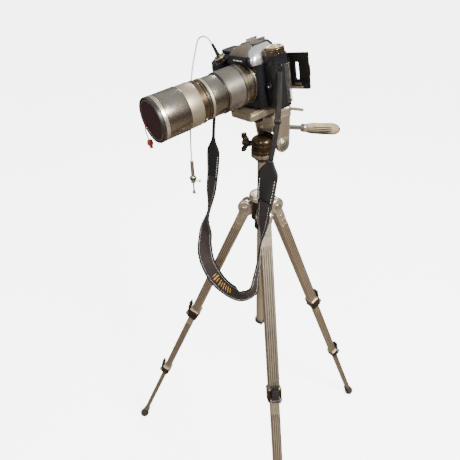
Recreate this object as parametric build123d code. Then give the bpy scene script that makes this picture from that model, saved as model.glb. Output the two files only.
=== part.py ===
from build123d import *
import os
from math import cos, pi, radians, sin, tan

# Film camera with a long lens on a three-section tripod. Millimetres.
# The origin is on the floor under the centre column, +Z is up, the lens
# points along -Y and +X is the photographer's left.

# ---- driving dimensions -------------------------------------------------
PIVOT_RADIUS = 28.0            # leg hinge, from the column axis
PIVOT_HEIGHT = 814.0           # leg hinge, above the floor
SPLAY = 23.47                  # leg angle from vertical, degrees
FOOT_HEIGHT = 12.0             # centre of the foot ball above the floor
FOOT_RADIUS = 12.4
LEG_LENGTH = (PIVOT_HEIGHT - FOOT_HEIGHT) / cos(radians(SPLAY))
LEG_AZIMUTHS = {"left_leg": -30.0, "right_leg": 210.0, "rear_leg": 90.0}
UPPER_END = 338.0              # down the leg from the hinge
MIDDLE_START = 290.0
MIDDLE_END = 598.0
LOWER_START = 552.0
UPPER_SECTION = (17.0, 21.0)   # radial depth, width
MIDDLE_SECTION = (14.0, 17.4)
LOWER_SECTION = (10.4, 13.8)
TUBE_WALL = 1.2

COLUMN_RADIUS = 8.5
COLUMN_BOTTOM = 545.0
COLUMN_TOP = 916.0
CROWN_TOP = 845.0
RUN = 0.06                     # running clearance on a pin or shaft

HEAD_RADIUS = 19.0
HEAD_BOTTOM = 908.0
PAN_SPLIT = 923.0              # fixed base below, turning body above
PAN_TOP = 950.0
PAN_KNOB_AZIMUTH = 195.0
TILT_Y = 24.0                  # tilt hinge behind the column axis
TILT_Z = 937.0
TILT_REST = 9.0                # lens points down by this much at rest
SIDE_HINGE_X = -30.0
SIDE_HINGE_Z = 995.0
SIDE_REST = 3.0                # left side of the camera up by this much
HANDLE_DROP = 23.0             # pan handle below level, before the tilt

CAMERA_Y = 12.0                # body frame origin before the head's tilts
CAMERA_Z = 1008.0
BODY_RIGHT = -76.0             # photographer's right end, with the grip
BODY_LEFT = 54.0
BODY_FRONT = -14.0
BODY_BACK = 15.0
BODY_TOP = 66.0
DECK_TOP = 76.0
PRISM_TOP = 90.0
MOUNT_Y = -28.0
LENS_AXIS_Z = 39.0
DOOR_HINGE = (-76.0, 18.0)
DOOR_OPEN = 20.0
GRIP_SLOPE = 20.0
BUTTON_SPOT = (-62.0, -25.0, 67.0)
MIRROR_HINGE = (5.0, 57.0)
SPOOL_SPOT = (-53.0, 2.5)

STRAP_THICKNESS = 3.0
STRAP_SOLID_WIDTH = 12.0
CABLE_RADIUS = 1.25


# ---- small helpers ------------------------------------------------------
def block(x, y, z):
    """A box between two values on each axis."""
    size = [b - a for a, b in (x, y, z)]
    middle = [(a + b) / 2 for a, b in (x, y, z)]
    return Pos(*middle) * Box(*size)


def rod(start, end, radius):
    """A round bar between two points."""
    start = Vector(*start)
    end = Vector(*end)
    line = end - start
    return Plane(origin=(start + end) * 0.5, z_dir=line) * Cylinder(radius, line.length)


def disc(radius, low, high, centre=(0.0, 0.0)):
    """An upright cylinder between two heights."""
    return Pos(centre[0], centre[1], (low + high) / 2) * Cylinder(radius, high - low)


def ring(outer, inner, low, high, centre=(0.0, 0.0)):
    return disc(outer, low, high, centre) - disc(inner, low - 1, high + 1, centre)


def on_plane_yz(points, x_from, x_to):
    """A flat outline in Y and Z, given a thickness along X."""
    outline = make_face(Polyline(*[(x_from, y, z) for y, z in points], close=True))
    return extrude(outline, amount=x_to - x_from, dir=(1, 0, 0))


def on_plane_xz(points, y_from, y_to):
    outline = make_face(Polyline(*[(x, y_from, z) for x, z in points], close=True))
    return extrude(outline, amount=y_to - y_from, dir=(0, 1, 0))


def rounded(shape, axis, radius):
    """Round the edges that run along one axis."""
    return fillet(shape.edges().filter_by(axis), radius)


def tilted(shape):
    """Turn a piece of the tilting head to its rest angle."""
    return shape.rotate(Axis((0, TILT_Y, TILT_Z), (1, 0, 0)), TILT_REST)


def side_tilted(shape):
    """Turn a piece on the side hinge, then with the tilting head."""
    return tilted(shape.rotate(Axis((SIDE_HINGE_X, 0, SIDE_HINGE_Z), (0, 1, 0)), -SIDE_REST))


def on_camera(shape):
    """Place a piece made in the camera's own frame."""
    return side_tilted(Pos(0, CAMERA_Y, CAMERA_Z) * shape)


def on_lens(shape):
    """Place a piece made along the lens axis, with 0 at the mount."""
    return on_camera(Pos(0, MOUNT_Y, LENS_AXIS_Z) * Rot(90, 0, 0) * shape)


def on_button(shape):
    """Place a piece made on the sloping top of the hand grip."""
    return on_camera(Pos(*BUTTON_SPOT) * Rot(GRIP_SLOPE, 0, 0) * shape)


def on_leg(shape, azimuth):
    """Place a piece made with the hinge at 0 and the leg down along -Z."""
    upright = Pos(PIVOT_RADIUS, 0, PIVOT_HEIGHT) * Rot(0, -SPLAY, 0) * shape
    return Rot(0, 0, azimuth) * upright


def save(name, shape):
    export_step(shape, f"parts/{name}.step")


# ---- tripod crown and column --------------------------------------------
TONGUE_WIDTH = 10.0
CHEEK_RADIUS = 15.5
CHEEK_WIDTH = 25.0
PIN_RADIUS = 3.0


def hinge_bar(radius, half_length, azimuth):
    """A bar along the hinge axis of one leg."""
    bar = rod((0, -half_length, 0), (0, half_length, 0), radius)
    return Rot(0, 0, azimuth) * Pos(PIVOT_RADIUS, 0, PIVOT_HEIGHT) * bar


def crown():
    hub = disc(19.0, 798.0, CROWN_TOP - 7.0) + disc(22.0, CROWN_TOP - 7.0, CROWN_TOP)
    hub += disc(13.0, 776.0, 798.0)
    for azimuth in LEG_AZIMUTHS.values():
        hub -= hinge_bar(CHEEK_RADIUS + 0.7, CHEEK_WIDTH / 2 + 2.0, azimuth)
    for azimuth in LEG_AZIMUTHS.values():
        arm = block((10.0, PIVOT_RADIUS), (-TONGUE_WIDTH / 2, TONGUE_WIDTH / 2), (806.0, 822.0))
        hub += Rot(0, 0, azimuth) * arm
        hub += hinge_bar(8.0, TONGUE_WIDTH / 2, azimuth)
    for azimuth in LEG_AZIMUTHS.values():
        hub -= hinge_bar(PIN_RADIUS, TONGUE_WIDTH, azimuth)
    hub -= disc(COLUMN_RADIUS + RUN, 700.0, 900.0)
    return hub - Rot(0, 0, 150.0) * rod((8.0, 0, 828.0), (24.0, 0, 828.0), 3.0 + RUN)


def hinge_pins():
    """One pin for each leg, with a flat head at each end."""
    pins = []
    for azimuth in LEG_AZIMUTHS.values():
        pin = hinge_bar(PIN_RADIUS, 14.0, azimuth)
        heads = hinge_bar(5.0, 14.0, azimuth) - hinge_bar(6.0, 12.7, azimuth)
        pins.append(pin + heads)
    return Compound(children=[pin.solid() for pin in pins])


def column_lock_knob():
    stem = rod((9.0, 0, 828.0), (26.0, 0, 828.0), 3.0)
    grip = rod((23.0, 0, 828.0), (38.0, 0, 828.0), 9.0)
    for turn in range(8):
        angle = radians(turn * 45.0)
        spot = (9.6 * cos(angle), 828.0 + 9.6 * sin(angle))
        grip -= rod((22.0, spot[0], spot[1]), (39.0, spot[0], spot[1]), 1.8)
    return Rot(0, 0, 150.0) * (stem + grip)


def column():
    tube = ring(COLUMN_RADIUS, COLUMN_RADIUS - 1.6, COLUMN_BOTTOM, COLUMN_TOP)
    plug = disc(10.5, COLUMN_BOTTOM - 5.0, COLUMN_BOTTOM)
    hook = Pos(0, 0, COLUMN_BOTTOM - 10.0) * Rot(90, 0, 0) * Torus(6.0, 1.3)
    return tube + plug + hook


# ---- legs, in the leg's own frame ---------------------------------------
def box_tube(section, top, bottom):
    depth, width = section
    outer = block((-depth / 2, depth / 2), (-width / 2, width / 2), (-bottom, -top))
    outer = rounded(outer, Axis.Z, 1.6)
    room = (depth / 2 - TUBE_WALL, width / 2 - TUBE_WALL)
    inner = block((-room[0], room[0]), (-room[1], room[1]), (-bottom - 1, -top + 1))
    return outer - inner


def leg_top():
    """The forked casting that turns on the crown."""
    cheeks = rod((0, -CHEEK_WIDTH / 2, 0), (0, CHEEK_WIDTH / 2, 0), CHEEK_RADIUS)
    cheeks = fillet(cheeks.edges().filter_by(GeomType.CIRCLE), 4.5)
    neck = block((-8.5, 8.5), (-10.5, 10.5), (-36.0, -6.0))
    plug = block((-7.2, 7.2), (-9.2, 9.2), (-50.0, -36.0))
    slot = rod((0, -TONGUE_WIDTH / 2 - 0.3, 0), (0, TONGUE_WIDTH / 2 + 0.3, 0), 17.5)
    bore = rod((0, -20.0, 0), (0, 20.0, 0), PIN_RADIUS + RUN)
    return cheeks + neck + plug - slot - bore


LEVER_PIN = 1.5


def lock_collar(section, inner_section, end, height):
    """The clamp round the end of a section, with two ears for its lever."""
    depth, width = section
    half_x = depth / 2 + 2.6
    half_y = width / 2 + 2.4
    low = -end - 8.0
    high = low + height
    body = block((-half_x, half_x), (-half_y, half_y), (low, high))
    body = rounded(body, Axis.Z, 3.0)
    body -= block((-depth / 2, depth / 2), (-width / 2, width / 2), (-end, high + 1))
    gap = 0.4
    room = (inner_section[0] / 2 + gap, inner_section[1] / 2 + gap)
    body -= block((-room[0], room[0]), (-room[1], room[1]), (low - 1, -end))
    for side in (-1, 1):
        inner = side * 7.2
        outer = side * 9.8
        ear = block((half_x - 0.5, half_x + 6.0), (min(inner, outer), max(inner, outer)), (low, low + 9.0))
        body += ear
    pin_x = half_x + 3.2
    return body - rod((pin_x, -12.0, low + 4.5), (pin_x, 12.0, low + 4.5), LEVER_PIN + RUN)


def lock_lever(section, end):
    """The flip lever on the outer face of a collar, shut at rest."""
    pin_x = section[0] / 2 + 5.8
    pin_z = -end - 3.5
    pin = rod((pin_x, -9.8, pin_z), (pin_x, 9.8, pin_z), LEVER_PIN)
    cam = rod((pin_x, -6.8, pin_z), (pin_x, 6.8, pin_z), 2.9)
    blade = block((pin_x - 1.4, pin_x + 1.8), (-6.8, 6.8), (pin_z, pin_z + 22.0))
    tip = Pos(pin_x + 2.6, 0, pin_z + 26.0) * Rot(0, 22, 0) * Box(2.8, 13.0, 12.0)
    return pin + cam + blade + tip


def upper_tube():
    tube = box_tube(UPPER_SECTION, 36.0, UPPER_END)
    collar = lock_collar(UPPER_SECTION, MIDDLE_SECTION, UPPER_END, 25.0)
    return Compound(children=[tube.solid(), collar.solid()])


def middle_tube():
    tube = box_tube(MIDDLE_SECTION, MIDDLE_START, MIDDLE_END)
    collar = lock_collar(MIDDLE_SECTION, LOWER_SECTION, MIDDLE_END, 22.0)
    return Compound(children=[tube.solid(), collar.solid()])


def lower_tube():
    return box_tube(LOWER_SECTION, LOWER_START, LEG_LENGTH - 9.0)


def foot(azimuth):
    """A rubber ball foot, flat where it meets the floor."""
    ball = Pos(0, 0, -LEG_LENGTH) * Sphere(FOOT_RADIUS)
    boot = block((-7.4, 7.4), (-9.0, 9.0), (-LEG_LENGTH, -LEG_LENGTH + 30.0))
    boot = rounded(boot, Axis.Z, 3.0)
    pocket = block((-5.2, 5.2), (-6.9, 6.9), (-LEG_LENGTH + 9.0, -LEG_LENGTH + 31.0))
    placed = on_leg(ball + boot - pocket, azimuth)
    return placed - block((-900, 900), (-900, 900), (-60.0, 0.0))


# ---- pan and tilt head --------------------------------------------------
def head_base():
    cone = Pos(0, 0, HEAD_BOTTOM + 4.0) * Cone(10.5, 17.5, 8.0)
    flange = disc(HEAD_RADIUS, COLUMN_TOP, PAN_SPLIT - 0.4)
    for flute in range(36):
        angle = radians(flute * 10.0)
        spot = ((HEAD_RADIUS + 0.5) * cos(angle), (HEAD_RADIUS + 0.5) * sin(angle))
        flange -= disc(1.0, COLUMN_TOP - 1.0, PAN_SPLIT + 1.0, spot)
    spigot = disc(9.0, PAN_SPLIT - 1.0, PAN_SPLIT + 10.0)
    return cone + flange + spigot - disc(COLUMN_RADIUS, HEAD_BOTTOM - 1.0, COLUMN_TOP)


def pan_body():
    drum = disc(HEAD_RADIUS, PAN_SPLIT, PAN_TOP)
    drum = fillet(drum.edges().group_by(Axis.Z)[-1], 8.0)
    boss = rod((-19.2, TILT_Y, TILT_Z), (19.2, TILT_Y, TILT_Z), 10.0)
    web = block((-13.0, 13.0), (8.0, TILT_Y), (TILT_Z - 9.0, TILT_Z + 9.0))
    body = drum + boss + web
    body -= disc(9.0 + RUN, PAN_SPLIT - 1.0, PAN_SPLIT + 11.0)
    body -= rod((-30.0, TILT_Y, TILT_Z), (30.0, TILT_Y, TILT_Z), 4.0 + RUN)
    hole = rod((9.0, 0, 932.0), (30.0, 0, 932.0), 3.0 + RUN)
    return body - Rot(0, 0, PAN_KNOB_AZIMUTH) * hole


def pan_lock_knob():
    """A wing knob: two hollow-sided wings on a short stem."""
    stem = rod((10.5, 0, 932.0), (32.0, 0, 932.0), 3.0)
    hub = rod((26.0, 0, 932.0), (40.0, 0, 932.0), 5.5)
    wing = block((31.0, 42.0), (-4.0, 4.0), (916.0, 948.0))
    wing -= rod((26.5, -9.0, 948.0), (26.5, 9.0, 948.0), 10.0)
    wing -= rod((26.5, -9.0, 916.0), (26.5, 9.0, 916.0), 10.0)
    wing -= rod((47.0, -9.0, 932.0), (47.0, 9.0, 932.0), 10.0)
    return Rot(0, 0, PAN_KNOB_AZIMUTH) * (stem + hub + wing)


def handle_line():
    """Start point and direction of the pan handle, before the tilt."""
    drop = radians(HANDLE_DROP)
    return Vector(0, 40.0, 956.0), Vector(0, cos(drop), -sin(drop))


def tilt_bracket():
    sides = None
    for low, high in ((19.7, 25.0), (-25.0, -19.7)):
        cheek = rod((low, TILT_Y, TILT_Z), (high, TILT_Y, TILT_Z), 13.0)
        strut = on_plane_yz([(11.0, TILT_Z), (37.0, TILT_Z), (44.0, 990.0), (6.0, 990.0)], low, high)
        sides = cheek + strut if sides is None else sides + cheek + strut
    saddle = block((-25.0, 25.0), (6.0, 44.0), (988.0, 994.0))
    web = block((-19.8, 19.8), (37.0, 44.0), (948.0, 988.5))
    arm = on_plane_yz([(6.0, 988.5), (16.0, 988.5), (12.0, 964.0), (8.0, 964.0)], -19.8, 19.8)
    lock_block = rounded(block((-12.0, 12.0), (43.5, 56.0), (972.0, 992.0)), Axis.Y, 3.0)
    knuckle = rod((SIDE_HINGE_X, 8.0, SIDE_HINGE_Z), (SIDE_HINGE_X, 24.0, SIDE_HINGE_Z), 5.0)
    neck = block((SIDE_HINGE_X, -24.0), (8.0, 24.0), (990.0, 994.0))
    frame = sides + saddle + web + arm + lock_block + knuckle + neck
    frame -= rod((SIDE_HINGE_X, 0, SIDE_HINGE_Z), (SIDE_HINGE_X, 40.0, SIDE_HINGE_Z), 2.5 + RUN)
    frame -= rod((-30.0, TILT_Y, TILT_Z), (30.0, TILT_Y, TILT_Z), 4.0)
    frame -= rod((0, 48.0, 980.0), (0, 60.0, 980.0), 3.0 + RUN)
    start, along = handle_line()
    ends = (start - along * 8.0, start + along * 12.0)
    frame -= rod((0, ends[0].Y, ends[0].Z), (0, ends[1].Y, ends[1].Z), 4.0 + RUN)
    return tilted(frame)


def tilt_screw():
    pin = rod((-26.0, TILT_Y, TILT_Z), (25.2, TILT_Y, TILT_Z), 4.0)
    head = rod((25.2, TILT_Y, TILT_Z), (28.2, TILT_Y, TILT_Z), 8.5)
    nut = rod((-29.0, TILT_Y, TILT_Z), (-25.2, TILT_Y, TILT_Z), 7.0)
    slot = Pos(28.2, TILT_Y, TILT_Z) * Rot(28, 0, 0) * Box(2.4, 13.0, 1.6)
    return tilted(pin + head + nut - slot)


def along_handle(distance):
    start, along = handle_line()
    spot = start + along * distance
    return (0, spot.Y, spot.Z)


def pan_handle():
    shank = rod(along_handle(-4.0), along_handle(112.0), 4.0)
    stop = rod(along_handle(8.5), along_handle(13.5), 6.5)
    return tilted(shank + stop)


def handle_grip():
    """A swelling plastic grip with finger grooves along its underside."""
    start, along = handle_line()
    plane = Plane(origin=start + along * 62.0, x_dir=(1, 0, 0), z_dir=along)
    stations = ((0.0, 6.5, 6.0), (14.0, 10.5, 9.0), (52.0, 12.0, 10.0), (80.0, 11.0, 9.5), (88.0, 7.0, 6.0))
    outlines = [plane.offset(at) * Ellipse(wide, tall) for at, wide, tall in stations]
    body = loft(Sketch() + outlines)
    bore = rod(along_handle(61.0), along_handle(112.0), 4.0)
    return tilted(body - bore)


def camera_platform():
    plate = rounded(block((-27.0, 27.0), (-36.0, 46.0), (996.0, 1004.0)), Axis.Z, 5.0)
    pad = rounded(block((-24.0, 24.0), (-32.0, 26.0), (1004.0, CAMERA_Z)), Axis.Z, 4.0)
    top = plate + pad
    for low, high in ((-4.0, 7.6), (24.4, 36.0)):
        top += rod((SIDE_HINGE_X, low, SIDE_HINGE_Z), (SIDE_HINGE_X, high, SIDE_HINGE_Z), 5.0)
        top += block((SIDE_HINGE_X, -26.0), (low, high), (997.0, 1000.0))
    top += rod((SIDE_HINGE_X, -4.0, SIDE_HINGE_Z), (SIDE_HINGE_X, 36.0, SIDE_HINGE_Z), 2.5)
    clearance = rod((SIDE_HINGE_X, 7.6, SIDE_HINGE_Z), (SIDE_HINGE_X, 24.4, SIDE_HINGE_Z), 5.6)
    core = rod((SIDE_HINGE_X, 7.0, SIDE_HINGE_Z), (SIDE_HINGE_X, 25.0, SIDE_HINGE_Z), 2.5)
    top -= clearance - core
    return side_tilted(top - disc(3.2 + RUN, 990.0, 1010.0, (0.0, -4.0)))


def camera_screw():
    grip = disc(8.0, 982.0, 995.5, (0.0, -4.0))
    for flute in range(10):
        angle = radians(flute * 36.0)
        grip -= disc(1.6, 981.0, 997.0, (8.6 * cos(angle), -4.0 + 8.6 * sin(angle)))
    return side_tilted(grip + disc(3.2, 990.0, CAMERA_Z + 6.0, (0.0, -4.0)))


def side_lock_lever():
    stem = rod((0, 49.0, 980.0), (0, 61.0, 980.0), 3.0)
    hub = rod((0, 56.6, 980.0), (0, 63.0, 980.0), 6.0)
    blade = Pos(3.0, 75.0, 975.0) * Rot(-22, 0, -12) * Box(9.0, 26.0, 4.0)
    return tilted(stem + hub + blade)


# ---- camera body, in the camera's frame ---------------------------------
def strap_lug(x, y, z):
    loop = Pos(x, y, z) * Rot(90, 0, 0) * Torus(3.6, 0.9)
    return loop


def camera_body():
    slab = block((BODY_RIGHT, BODY_LEFT), (BODY_FRONT, BODY_BACK), (0.0, BODY_TOP))
    slab = rounded(slab, Axis.Z, 8.0)
    front = rounded(block((-33.0, 33.0), (MOUNT_Y, 0.0), (2.0, BODY_TOP)), Axis.Z, 9.0)
    grip = rounded(block((BODY_RIGHT, -47.0), (-38.0, 0.0), (0.0, 60.0)), Axis.Z, 9.5)
    shell = slab + front + grip
    shell -= block((-64.0, -42.0), (-8.0, 20.0), (6.0, 60.0))
    shell -= block((22.5, 49.5), (-11.0, 20.0), (6.0, 60.0))
    shell -= block((-43.0, 23.0), (8.0, 20.0), (7.0, 59.0))
    shell -= block((-18.0, 18.0), (0.0, 10.0), (27.0, 51.0))
    shell -= block((-20.0, 20.0), (-24.0, 7.0), (16.0, 60.0))
    shell -= rod((0, MOUNT_Y - 1.0, LENS_AXIS_Z), (0, -10.0, LENS_AXIS_Z), 22.0)
    shell -= rod((0, -16.0, -1.0), (0, -16.0, 8.0), 3.2 + RUN)
    shell -= rod((41.0, -20.0, 34.0), (41.0, -11.5, 34.0), 5.0)
    shell -= rod((-21.5, *MIRROR_HINGE), (21.5, *MIRROR_HINGE), 1.4 + RUN)
    shell -= disc(2.0 + RUN, 2.5, 63.5, SPOOL_SPOT)
    hinge_x, hinge_y = DOOR_HINGE
    for low, high in ((0.5, 5.5), (61.5, 65.5)):
        shell += disc(2.4, low, high, DOOR_HINGE)
        shell += block((hinge_x, hinge_x + 9.0), (hinge_y - 8.0, hinge_y + 1.0), (low, high))
        shell -= disc(1.2 + RUN, low - 1.0, high + 1.0, DOOR_HINGE)
    shell += strap_lug(BODY_RIGHT - 3.4, -8.0, 61.0)
    shell += strap_lug(BODY_LEFT + 3.4, -6.0, 61.0)
    return on_camera(shell)


def top_cover():
    """The deck, the sloping grip top and the prism housing."""
    deck = block((BODY_RIGHT, BODY_LEFT), (BODY_FRONT, BODY_BACK), (BODY_TOP, DECK_TOP))
    deck = rounded(deck, Axis.Z, 8.0)
    slope = tan(radians(GRIP_SLOPE))
    drop = 24.0 * slope
    wedge = on_plane_yz([(-14.0, 60.0), (-14.0, 71.0), (-38.0, 71.0 - drop), (-38.0, 60.0)], BODY_RIGHT, -47.0)
    wedge &= rounded(block((BODY_RIGHT, -47.0), (-38.0, 0.0), (50.0, 80.0)), Axis.Z, 9.5)
    wedge += block((BODY_RIGHT + 9.0, -47.0), (-15.0, -10.0), (BODY_TOP, 71.0))
    side = [(-34.0, BODY_TOP), (-34.0, 78.0), (-14.0, PRISM_TOP), (13.0, PRISM_TOP), (BODY_BACK, 86.0)]
    prism = on_plane_yz(side + [(BODY_BACK, BODY_TOP)], -30.0, 30.0)
    face = [(-30.0, BODY_TOP), (30.0, BODY_TOP), (25.5, DECK_TOP), (15.0, PRISM_TOP)]
    prism &= on_plane_xz(face + [(-15.0, PRISM_TOP), (-25.5, DECK_TOP)], -40.0, 20.0)
    cover = deck + wedge + prism
    at_button = Pos(*BUTTON_SPOT) * Rot(GRIP_SLOPE, 0, 0)
    cover += at_button * disc(6.4, -2.0, 3.6)
    cover -= at_button * disc(5.0 + RUN, -4.5, 8.0)
    cover -= rod((0, -50.0, LENS_AXIS_Z), (0, MOUNT_Y, LENS_AXIS_Z), 31.0)
    return on_camera(cover)


def hot_shoe():
    """Two rails over a plate: an accessory foot slides in from behind."""
    plate = block((-10.5, 10.5), (-8.0, 11.0), (PRISM_TOP, PRISM_TOP + 1.0))
    for side in (-1, 1):
        outer = sorted((side * 9.3, side * 10.5))
        lip = sorted((side * 6.2, side * 10.5))
        plate += block(outer, (-8.0, 11.0), (PRISM_TOP + 0.5, PRISM_TOP + 4.2))
        plate += block(lip, (-8.0, 11.0), (PRISM_TOP + 3.2, PRISM_TOP + 4.2))
    return on_camera(plate)


def eyepiece():
    frame = rounded(block((-14.0, 14.0), (BODY_BACK, 21.0), (68.0, 85.0)), Axis.Y, 4.0)
    cup = rounded(block((-9.0, 9.0), (BODY_BACK + 2.0, 22.0), (71.5, 81.5)), Axis.Y, 3.0)
    return on_camera(frame - cup)


def film_door():
    plate = block((DOOR_HINGE[0] + 2.0, BODY_LEFT - 3.0), (BODY_BACK + 0.5, 19.0), (6.0, 61.0))
    plate = rounded(plate, Axis.Y, 2.0)
    plate += disc(2.4, 6.0, 61.0, DOOR_HINGE)
    plate += block((DOOR_HINGE[0], DOOR_HINGE[0] + 4.0), (BODY_BACK + 1.4, 19.0), (6.0, 61.0))
    plate -= block((28.0, 34.5), (10.0, 25.0), (21.0, 47.0))
    plate += disc(1.2, 1.0, 65.0, DOOR_HINGE)
    plate += block((BODY_LEFT - 5.0, BODY_LEFT - 1.5), (BODY_BACK + 0.5, 18.4), (26.0, 42.0))
    return door_turned(plate)


def door_turned(shape):
    return on_camera(shape.rotate(Axis((*DOOR_HINGE, 0), (0, 0, 1)), DOOR_OPEN))


def pressure_plate():
    plate = block((-21.0, 21.0), (12.4, 13.8), (12.0, 54.0))
    spring = block((-12.0, 12.0), (13.8, BODY_BACK + 0.5), (28.0, 38.0))
    return door_turned(plate + spring)


def film_cartridge():
    can = disc(12.3, 11.0, 54.0, (36.0, 2.0))
    hub = disc(5.5, 6.0, 60.0, (36.0, 2.0))
    lip = block((20.0, 36.0), (8.6, 11.4), (11.0, 54.0))
    return on_camera(can + hub + lip)


def take_up_spool():
    drum = disc(7.5, 8.0, 58.0, SPOOL_SPOT) + disc(2.0, 3.0, 63.0, SPOOL_SPOT)
    for end in (8.0, 56.0):
        drum += disc(9.6, end, end + 2.0, SPOOL_SPOT)
    for slot in range(3):
        angle = radians(120.0 * slot)
        spot = (SPOOL_SPOT[0] + 7.5 * cos(angle), SPOOL_SPOT[1] + 7.5 * sin(angle))
        drum -= disc(1.2, 12.0, 54.0, spot)
    return on_camera(drum)


def mirror():
    """The reflex mirror, down at 45 degrees on its rear top hinge."""
    plate = block((-17.0, 17.0), (-27.0, 0.0), (-1.0, 1.0))
    bar = rod((-21.0, 0, 0), (21.0, 0, 0), 1.4)
    return on_camera(Pos(0, *MIRROR_HINGE) * Rot(45, 0, 0) * (plate + bar))


DIAL_SPOT = (41.0, 0.0)
DIAL_RADIUS = 14.5


def mode_dial():
    dial = disc(DIAL_RADIUS, DECK_TOP + 0.3, DECK_TOP + 9.0, DIAL_SPOT)
    dial = chamfer(dial.edges().group_by(Axis.Z)[-1], 1.5)
    for groove in range(24):
        angle = radians(15.0 * groove)
        reach = DIAL_RADIUS + 0.4
        spot = (DIAL_SPOT[0] + reach * cos(angle), DIAL_SPOT[1] + reach * sin(angle))
        dial -= disc(0.8, DECK_TOP + 1.5, DECK_TOP + 7.0, spot)
    return on_camera(dial)


def shutter_button():
    return on_button(disc(5.0, -3.0, 5.0) - disc(1.5, 2.0, 6.0))


def power_collar():
    collar = ring(9.0, 6.4 + RUN, 0.3, 3.3)
    collar += Pos(0, -9.5, 1.8) * Box(4.0, 4.0, 3.0)
    return on_button(collar)


def lens_release():
    return on_camera(rod((41.0, -18.0, 34.0), (41.0, -13.2, 34.0), 5.0 - RUN))


# ---- lens, along its own axis -------------------------------------------
def lens_barrel():
    """Mount, core, front barrel and front housing in one fixed tube."""
    tube = disc(24.0, 0.2, 60.0) + disc(29.0, 0.2, 4.0) + disc(27.0, 52.0, 88.0)
    tube += disc(30.0, 88.5, 121.0) + disc(26.0, 84.0, 90.0)
    for groove in (82.5, 86.0):
        tube -= ring(28.0, 26.0, groove, groove + 1.4)
    tube -= disc(20.0, -1.0, 100.0)
    return on_lens(tube - disc(27.5, 99.0, 122.0))


def lens_elements():
    """The front and rear glasses, which stand in for the whole set."""
    front = disc(27.5, 100.0, 106.0) & (Pos(0, 0, 106.0 - 70.0) * Sphere(70.0))
    rear = disc(20.0, 4.0, 8.0)
    return on_lens(Compound(children=[front.solid(), rear.solid()]))


def aperture_ring():
    return on_lens(ring(28.4, 24.4, 4.6, 12.6))


def zoom_ring():
    return on_lens(ring(29.6, 24.4, 13.2, 51.4))


def lens_hood():
    return on_lens(ring(31.3, 30.3, 116.0, 157.0))


def lens_cap():
    face = disc(31.3, 157.3, 161.5)
    face = fillet(face.edges().group_by(Axis.Z)[-1], 1.4)
    lip = ring(29.9, 27.5, 151.0, 158.0)
    return on_lens(face + lip)


def cap_tassel():
    """A short cord loop with two beads, tied to the cap's edge."""
    cord = rod((-27.0, -10.5, 163.0), (-27.0, -34.0, 163.0), 1.5)
    cord += rod((-27.0, -11.5, 163.0), (-27.0, -11.5, 161.5), 1.5)
    bead = rod((-27.0, -34.0, 163.0), (-27.0, -42.0, 163.0), 4.4)
    small = rod((-27.0, -42.0, 163.0), (-27.0, -46.0, 163.0), 2.8)
    return on_lens(cord + bead + small)


# ---- cable release ------------------------------------------------------
CABLE_ROUTE = [
    (-68, -47, 1089),
    (-69, -51, 1096),
    (-74, -55, 1100),
    (-81, -59, 1099),
    (-86, -62, 1092),
    (-88, -64, 1081),
    (-92, -67, 1064),
    (-97, -70, 1040),
    (-101, -72, 1005),
    (-103, -75, 960),
    (-105, -77, 922),
    (-105, -77, 893),
]
HANDLE_SPOT = (-105, -77)
HANDLE_TOP = 893.0


def corner_radii(route):
    """Each arc is 0.45 of its shorter run over the tangent of half the turn."""
    spots = [Vector(*point) for point in route]
    radii = []
    for before, here, after in zip(spots, spots[1:], spots[2:]):
        first = here - before
        second = after - here
        turn = radians(first.get_angle(second))
        radii.append(0.45 * min(first.length, second.length) / tan(turn / 2))
    return radii


def route_path(route):
    return FilletPolyline(*route, radius=corner_radii(route))


def swept(route, section_for):
    path = route_path(route)
    start = Plane(origin=path @ 0, z_dir=path % 0, x_dir=section_for[1])
    return sweep(start * section_for[0], path=path), path


def release_cable():
    tube, path = swept(CABLE_ROUTE, (Circle(CABLE_RADIUS), (1, 0, 0)))
    print("cable length", round(path.length, 1), "radii", [round(r) for r in corner_radii(CABLE_ROUTE)])
    print("cable volume ratio", round(tube.volume / (path.length * pi * CABLE_RADIUS**2), 3))
    return tube


def release_ferrule():
    """The screwed end of the cable: knurled nut and tapered sleeve."""
    nut = disc(3.0, 5.0, 12.0)
    sleeve = Pos(0, 0, 19.3) * Cone(2.6, 2.2, 14.6)
    thread = disc(1.5, 2.0, 5.0)
    return on_button(nut + sleeve + thread)


def handle_disc(radius, low, high):
    return disc(radius, low, high, HANDLE_SPOT)


def release_handle():
    body = handle_disc(3.3, 862.0, HANDLE_TOP) + handle_disc(6.0, 857.0, 862.0)
    body += handle_disc(4.4, 851.0, 857.0)
    body -= handle_disc(1.5 + RUN, 840.0, 880.0)
    return body


def release_plunger():
    stem = handle_disc(1.5, 832.0, 874.0)
    return stem + Pos(HANDLE_SPOT[0], HANDLE_SPOT[1], 832.5) * Cone(3.6, 1.5, 7.0)


# ---- neck strap ---------------------------------------------------------
STRAP_ROUTE = [
    (-84, -19, 1055),
    (-90, -27, 1006),
    (-92, -35, 956),
    (-88, -41, 906),
    (-86, -46, 864),
    (-88, -51, 830),
    (-92, -57, 783),
    (-97, -63, 740),
    (-97, -68, 703),
    (-87, -71, 681),
    (-67, -73, 666),
    (-41, -74, 657),
    (-8, -74, 657),
    (26, -73, 666),
    (49, -71, 682),
    (61, -68, 704),
    (64, -63, 735),
    (65, -58, 774),
    (63, -52, 817),
    (62, -46, 864),
    (61, -40, 913),
    (65, -35, 953),
    (66, -28, 992),
    (62, -22, 1029),
    (55, -17, 1062),
]


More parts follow.
